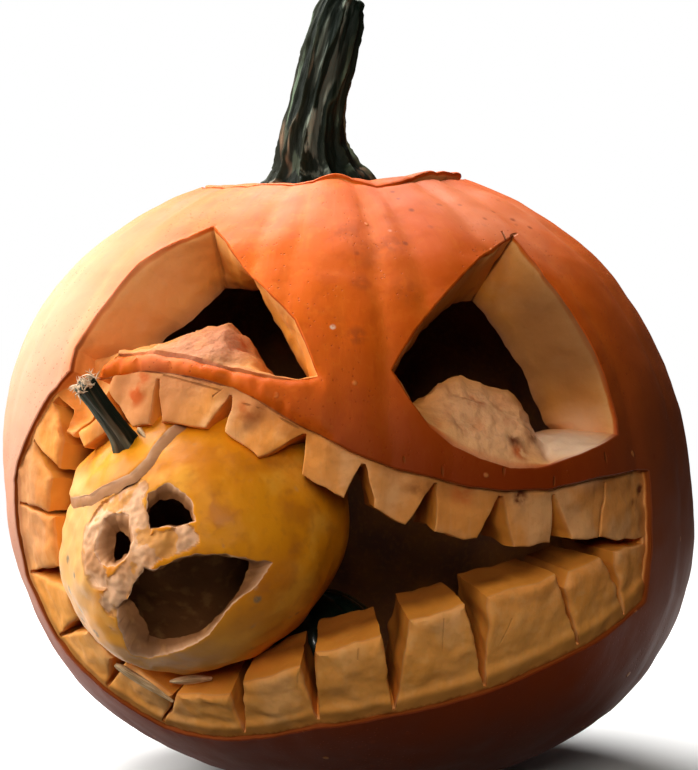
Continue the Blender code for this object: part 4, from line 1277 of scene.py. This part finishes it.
yellow_finish = yellow_rind("yellow_rind_and_flesh")
small_shell.data.materials.append(yellow_finish)
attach(small_shell, "root")
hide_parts("small_pumpkin")

# ---------------------------------------------------------------------------------------------
# The small lid: the cap of the small pumpkin, cut round with a knife and put back a little askew,
# so that its thick pale cut edge stands proud along the front.
# ---------------------------------------------------------------------------------------------
cap = Fruit(0.055, pole=-1)
cap_top, cap_low = cap.beside(seat_edge, -0.0034), cap.beside(seat_edge, 0.0005)
cap_inner = cap.beside(seat_inner, -0.0008)
rings = [cap.ring(cap.beside(cap_top, -0.0012), 0.0), cap.ring(cap.beside(cap_top, -0.0004), 0.0002)]
straight = np.ones(len(cap_low))
rings += cap.loft(cap_top, cap_low, straight, 0.0007, 0.0026, 6)
rings += cap.loft(cap.beside(cap_low, -0.0008), cap_inner, straight, 0.0034, small_wall(cap_inner), 5)
cap.join(rings)
cap.sheet([rings[0]], [(0.0009, 1)], no_depth)
cap.sheet([rings[-1]], [(0.0016, 1)], small_wall)


def place_cap(ways, depths):
    """The small pumpkin's own places, lifted so that the edge lies on the skin."""
    radius = small_skin(ways) - depths + 0.0024 + 0.0004 * grain(ways, 0.25, 5)
    points = ways * radius[:, None]
    rough = ease(depths, 0.0003, 0.0010)[:, None]
    push = 0.0006 * shake(points, 0.007, 11, 14, 18) + 0.0003 * shake(points, 0.0025, 12, 15, 19)
    return to_small_frame(points + push * rough)


small_cap = cap.piece("small_cap", place_cap, peeled=0 * cap.depths)
small_cap.data.materials.append(yellow_finish)
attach(small_cap, "root")
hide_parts("small_lid")

# ---------------------------------------------------------------------------------------------
# The small stem: the small pumpkin's own stalk, bent, dark green and hard, with few ridges. It
# grows out of the cap, and its end was torn off.
# ---------------------------------------------------------------------------------------------
SMALL_STEM = [
    ((-0.0005, -0.0035, 0.042), 0.0090), ((0, -0.0045, 0.0475), 0.0080),
    ((0.0005, -0.0052, 0.0520), 0.0060), ((0.0018, -0.0062, 0.0585), 0.0046),
    ((0.0026, -0.0062, 0.0700), 0.0040), ((0.0030, -0.0050, 0.0830), 0.0042),
]
in_frame = [(SMALL_FRAME @ Vector(place), radius) for place, radius in SMALL_STEM]
small_stem = stalk.grow(
    stalk_line(in_frame, 0.0004), "small_stem", Sides=96, Ridges=5.0, Ridge_Depth=0.22, Flare=0.6,
    Flare_Length=0.012, Twist=6.0, Roughness=0.10, Seed=7.0,
    Material=dark_stalk("dark_green_small_stalk", 0.3),
)
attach(small_stem, "root")
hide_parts("small_lid")

# ---------------------------------------------------------------------------------------------
# The frayed end: dry straw-coloured fibres, split and bent every way, that stand out of the small
# stem where it was torn off. They are still part of the stalk.
# ---------------------------------------------------------------------------------------------


def fray_tree():
    """Thin fibres that stand out of a face patch, each with its own lean, length and bend."""
    shape = Shape(
        "frayed_fibres", Density=("Float", 1e5), Length=("Float", 0.006), Thickness=("Float", 0.0003),
        Spread=("Float", 0.6), Seed=("Int", 1), Material=("Material", None),
    )
    seed, length = shape.given("Seed"), shape.given("Length")
    sockets = {"Mesh": shape.given("Geometry"), "Density": shape.given("Density"), "Seed": seed}
    points, normal, _ = shape.node("GeometryNodeDistributePointsOnFaces", (), sockets, output=None)
    sockets = {0: (-1, -1, -1), 1: (1, 1, 1), 8: seed}
    stray = shape.node("FunctionNodeRandomValue", {"data_type": "FLOAT_VECTOR"}, sockets)
    lean = shape.vector("ADD", normal, shape.scaled(stray, shape.given("Spread")))
    turn = shape.node("FunctionNodeAlignRotationToVector", {"axis": "Z"}, {"Vector": lean})
    fibre = shape.node("GeometryNodeCurvePrimitiveLine", (), {"Start": (0, 0, -0.1), "End": (0, 0, 1)})
    fibre = shape.node("GeometryNodeResampleCurve", (), {"Curve": fibre, "Count": 9})
    size = shape.node("FunctionNodeRandomValue", {"data_type": "FLOAT"}, {2: 0.35, 3: 1.0, 8: seed + 3})
    scale = shape.scaled((1, 1, 1), size * length)
    sockets = {"Points": points, "Instance": fibre, "Rotation": turn, "Scale": scale}
    fibres = shape.node("GeometryNodeInstanceOnPoints", (), sockets)
    fibres = shape.node("GeometryNodeRealizeInstances", (), {0: fibres})
    share = shape.node("GeometryNodeSplineParameter", output="Factor")
    place = shape.node("GeometryNodeInputPosition")
    bend = shape.vector("SUBTRACT", shape.noise(180.0, 1.0, place, "Color"), (0.5, 0.5, 0.5))
    offset = shape.scaled(bend, share * share * length * 2.4)
    fibres = shape.node("GeometryNodeSetPosition", (), {"Geometry": fibres, "Offset": offset})
    sockets = {"Resolution": 6, "Radius": shape.given("Thickness")}
    ring = shape.node("GeometryNodeCurvePrimitiveCircle", (), sockets)
    sockets = {"Curve": fibres, "Profile Curve": ring, "Scale": 1.15 - share * share, "Fill Caps": True}
    shape.close(shape.node("GeometryNodeCurveToMesh", (), sockets))
    return shape


def patch(points):
    """A flat face with these corners."""
    mesh = bpy.data.meshes.new("patch")
    mesh.from_pydata([tuple(point) for point in points], [], [range(len(points))])
    return mesh


def straw(name):
    """Dry, straw-coloured fibre."""
    paint = Paint(name)
    color = paint.mix(paint.noise(700, 2), (0.56, 0.36, 0.20), (0.84, 0.68, 0.50))
    normal = paint.bump(paint.noise(900, 2), 0.0003, 0.5)
    return paint.finish(base_color=color, roughness=0.75, normal=normal)


# The fibres stand on a round patch a little inside the stem's end
TORN_RADIUS, TORN_DEPTH, TORN_CORNERS = 0.0043, 0.0015, 10
tip, before = (Vector(in_frame[k][0]) for k in (-1, -2))
ahead = (tip - before).normalized()
across = ahead.orthogonal().normalized()
around = ahead.cross(across)
turns = [k * tau / TORN_CORNERS for k in range(TORN_CORNERS)]
torn_face = patch([
    tip - ahead * TORN_DEPTH + (across * cos(turn) + around * sin(turn)) * TORN_RADIUS for turn in turns
])
frayed_end = fray_tree().grow(
    torn_face, "frayed_end", Density=3.2e6, Length=0.0076, Thickness=0.00032, Spread=0.95, Seed=4,
    Material=straw("straw_fibre"),
)
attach(frayed_end, "root")

# ---------------------------------------------------------------------------------------------
# The dark gourd: a small glossy green squash with shallow ribs. It isn't cut, and stands loose on
# the floor of the cavity.
# ---------------------------------------------------------------------------------------------


def gourd_tree():
    """A ball pressed into ribs that run from its top to its bottom."""
    shape = Shape(
        "ribbed_gourd", Ribs=("Float", 9.0), Rib_Depth=("Float", 0.06), Size=("Vector", (1, 1, 1)),
        Place=("Vector", (0, 0, 0)), Material=("Material", None),
    )
    ball = shape.node("GeometryNodeMeshUVSphere", (), {"Segments": 108, "Rings": 64, "Radius": 1.0})
    place = shape.node("GeometryNodeInputPosition")
    x, y, z = (shape.axis(place, k) for k in range(3))
    wave = (y.math("ARCTAN2", x) * shape.given("Ribs") * 0.5).math("SINE").math("ABSOLUTE")
    wave = wave.math("POWER", 0.6)
    level = (1 - z * z).math("MAXIMUM", 0.0).math("SQRT")
    dip = (1 - level).math("POWER", 3.0) * 0.25
    swell = 1 + (wave - 1) * level * shape.given("Rib_Depth") - dip
    lumps = shape.noise(2.0, 1.0, place) - 0.5
    moved = shape.vector("MULTIPLY", shape.scaled(place, swell + lumps * 0.06), shape.given("Size"))
    moved = shape.vector("ADD", moved, shape.given("Place"))
    shape.close(shape.node("GeometryNodeSetPosition", (), {"Geometry": ball, "Position": moved}))
    return shape


def green_rind(name):
    """Very dark green rind with faint paler flecks and a hard gloss."""
    paint = Paint(name)
    color = paint.mix(paint.noise(60, 3), (0.003, 0.009, 0.005), (0.008, 0.020, 0.011))
    flecks = paint.cells(260).between(0.25, 0.12) * paint.noise(90).between(0.5, 0.6)
    color = paint.mix(flecks * 0.4, color, (0.05, 0.09, 0.04))
    return paint.finish(
        base_color=color, roughness=0.22 + paint.noise(70, 2) * 0.12, coat_weight=0.4,
        normal=paint.bump(paint.noise(120, 3), 0.0005, 0.5),
    )


gourd = gourd_tree().grow(
    bpy.data.meshes.new("seed"), "gourd", Ribs=9.0, Rib_Depth=0.10, Size=(0.0360, 0.0320, 0.0262),
    Place=(-0.0130, -0.0400, 0.0626), Material=green_rind("dark_green_gourd"),
)
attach(gourd, "root")
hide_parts("dark_gourd")

# ---------------------------------------------------------------------------------------------
# The picks: three slivers of raw wood, split off a stick. They are pushed into the flesh beside
# the small pumpkin to hold it.
# ---------------------------------------------------------------------------------------------
PICKS = {
    "pick_left": (
        ((-0.0862, -0.1040, 0.0645), 0.0008), ((-0.0815, -0.1042, 0.0616), 0.0017),
        ((-0.0720, -0.1038, 0.0556), 0.0014), ((-0.0630, -0.1032, 0.0493), 0.0006),
    ),
    "pick_right": (
        ((-0.0642, -0.1050, 0.0577), 0.0005), ((-0.0600, -0.1052, 0.0582), 0.0015),
        ((-0.0540, -0.1052, 0.0588), 0.0018), ((-0.0473, -0.1050, 0.0591), 0.0008),
    ),
    "pick_upper": (
        ((-0.0701, -0.1265, 0.1553), 0.0002), ((-0.0724, -0.1230, 0.1582), 0.0006),
        ((-0.0751, -0.1182, 0.1608), 0.0010),
    ),
}


def split_wood(name):
    """Pale raw wood with its grain along the sliver."""
    paint = Paint(name)
    lengthwise = paint.vector("MULTIPLY", paint.attribute("straight", "Vector"), (1, 1, 0.1))
    grain_lines = paint.noise(1500, 3, lengthwise)
    color = paint.mix(grain_lines.between(0.35, 0.65), (0.52, 0.30, 0.13), (0.84, 0.60, 0.34))
    return paint.finish(base_color=color, roughness=0.7, normal=paint.bump(grain_lines, 0.0004, 0.8))


wood = split_wood("split_wood")
for number, (name, stations) in enumerate(PICKS.items()):
    pick = stalk.grow(
        stalk_line(stations, 0.0004), name, Sides=24, Ridges=3.0, Ridge_Depth=0.45, Twist=30.0,
        Roughness=0.5, Seed=20.0 + number, Material=wood,
    )
    pick.name = "split_" + name
    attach(pick, "root")
    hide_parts(name)

# ---------------------------------------------------------------------------------------------
# Floor, lights and camera: a pale round floor that fades into a white room, wide soft lamps on the
# left, above and behind, and two weaker ones in front.
# ---------------------------------------------------------------------------------------------
FLOOR_RADIUS, FLOOR_CORNERS = 1.0, 64
turns = [k * tau / FLOOR_CORNERS for k in range(FLOOR_CORNERS)]
edge = [(FLOOR_RADIUS * cos(turn), FLOOR_RADIUS * sin(turn), 0) for turn in turns]
floor = bpy.data.objects.new("floor", patch(edge))
bpy.context.scene.collection.objects.link(floor)
paper = Paint("floor_paper")
fade = paper.vector("LENGTH", paper.place, output="Value").between(FLOOR_RADIUS * 0.98, FLOOR_RADIUS * 0.25)
floor.data.materials.append(paper.finish(base_color=(0.80, 0.80, 0.80), roughness=0.9, alpha=fade))
floor.visible_diffuse = False


def aimed(name, data, place, target):
    """Put a lamp or the camera at a place, turned towards a target."""
    thing = bpy.data.objects.new(name, data)
    thing.location = place
    thing.rotation_euler = (target - Vector(place)).to_track_quat("-Z", "Y").to_euler()
    bpy.context.scene.collection.objects.link(thing)
    return thing


# Each lamp: place, size, power and colour
LAMPS = {
    "window": ((-0.85, 0.25, 0.95), 0.9, 14, (1, 0.99, 0.97)),
    "overhead": ((-0.2, 0.6, 1.1), 0.9, 32, (1, 0.99, 0.97)),
    "left": ((-1.15, -0.1, 0.6), 0.7, 12, (1, 0.97, 0.93)),
    "front": ((-0.1, -1.6, 0.75), 0.6, 10.5, (1, 0.95, 0.88)),
    "above": ((-0.4, -1.0, 1.3), 0.6, 4, (1, 0.96, 0.9)),
}
for name, (place, size, power, color) in LAMPS.items():
    light = bpy.data.lights.new(name, "AREA")
    light.shape, light.size, light.energy, light.color = "DISK", size, power, color
    aimed(name, light, place, Vector((0, 0, 0.15)))
world = bpy.data.worlds.new("studio")
world.use_nodes = True
room = Nodes(world.node_tree)
dim = room.node("ShaderNodeBackground", (), {"Color": (1, 1, 1), "Strength": 0.03})
bright = room.node("ShaderNodeBackground", (), {"Color": (1, 1, 1), "Strength": 1.0})
seen = room.node("ShaderNodeLightPath", output="Is Camera Ray")
both = room.node("ShaderNodeMixShader", (), {0: seen, 1: dim, 2: bright})
room.set(world.node_tree.nodes["World Output"].inputs[0], both)
bpy.context.scene.world = world
bpy.context.scene.view_settings.view_transform = "Standard"

AIM, DISTANCE, ABOVE_LEVEL = Vector((0.0079, 0, 0.170)), 1.2, radians(4)
place = AIM + DISTANCE * Vector((0, -cos(ABOVE_LEVEL), sin(ABOVE_LEVEL)))
camera = aimed("camera", bpy.data.cameras.new("camera"), place, AIM)
camera.data.lens = 128.2
camera.data.sensor_fit = "AUTO"
bpy.context.scene.camera = camera
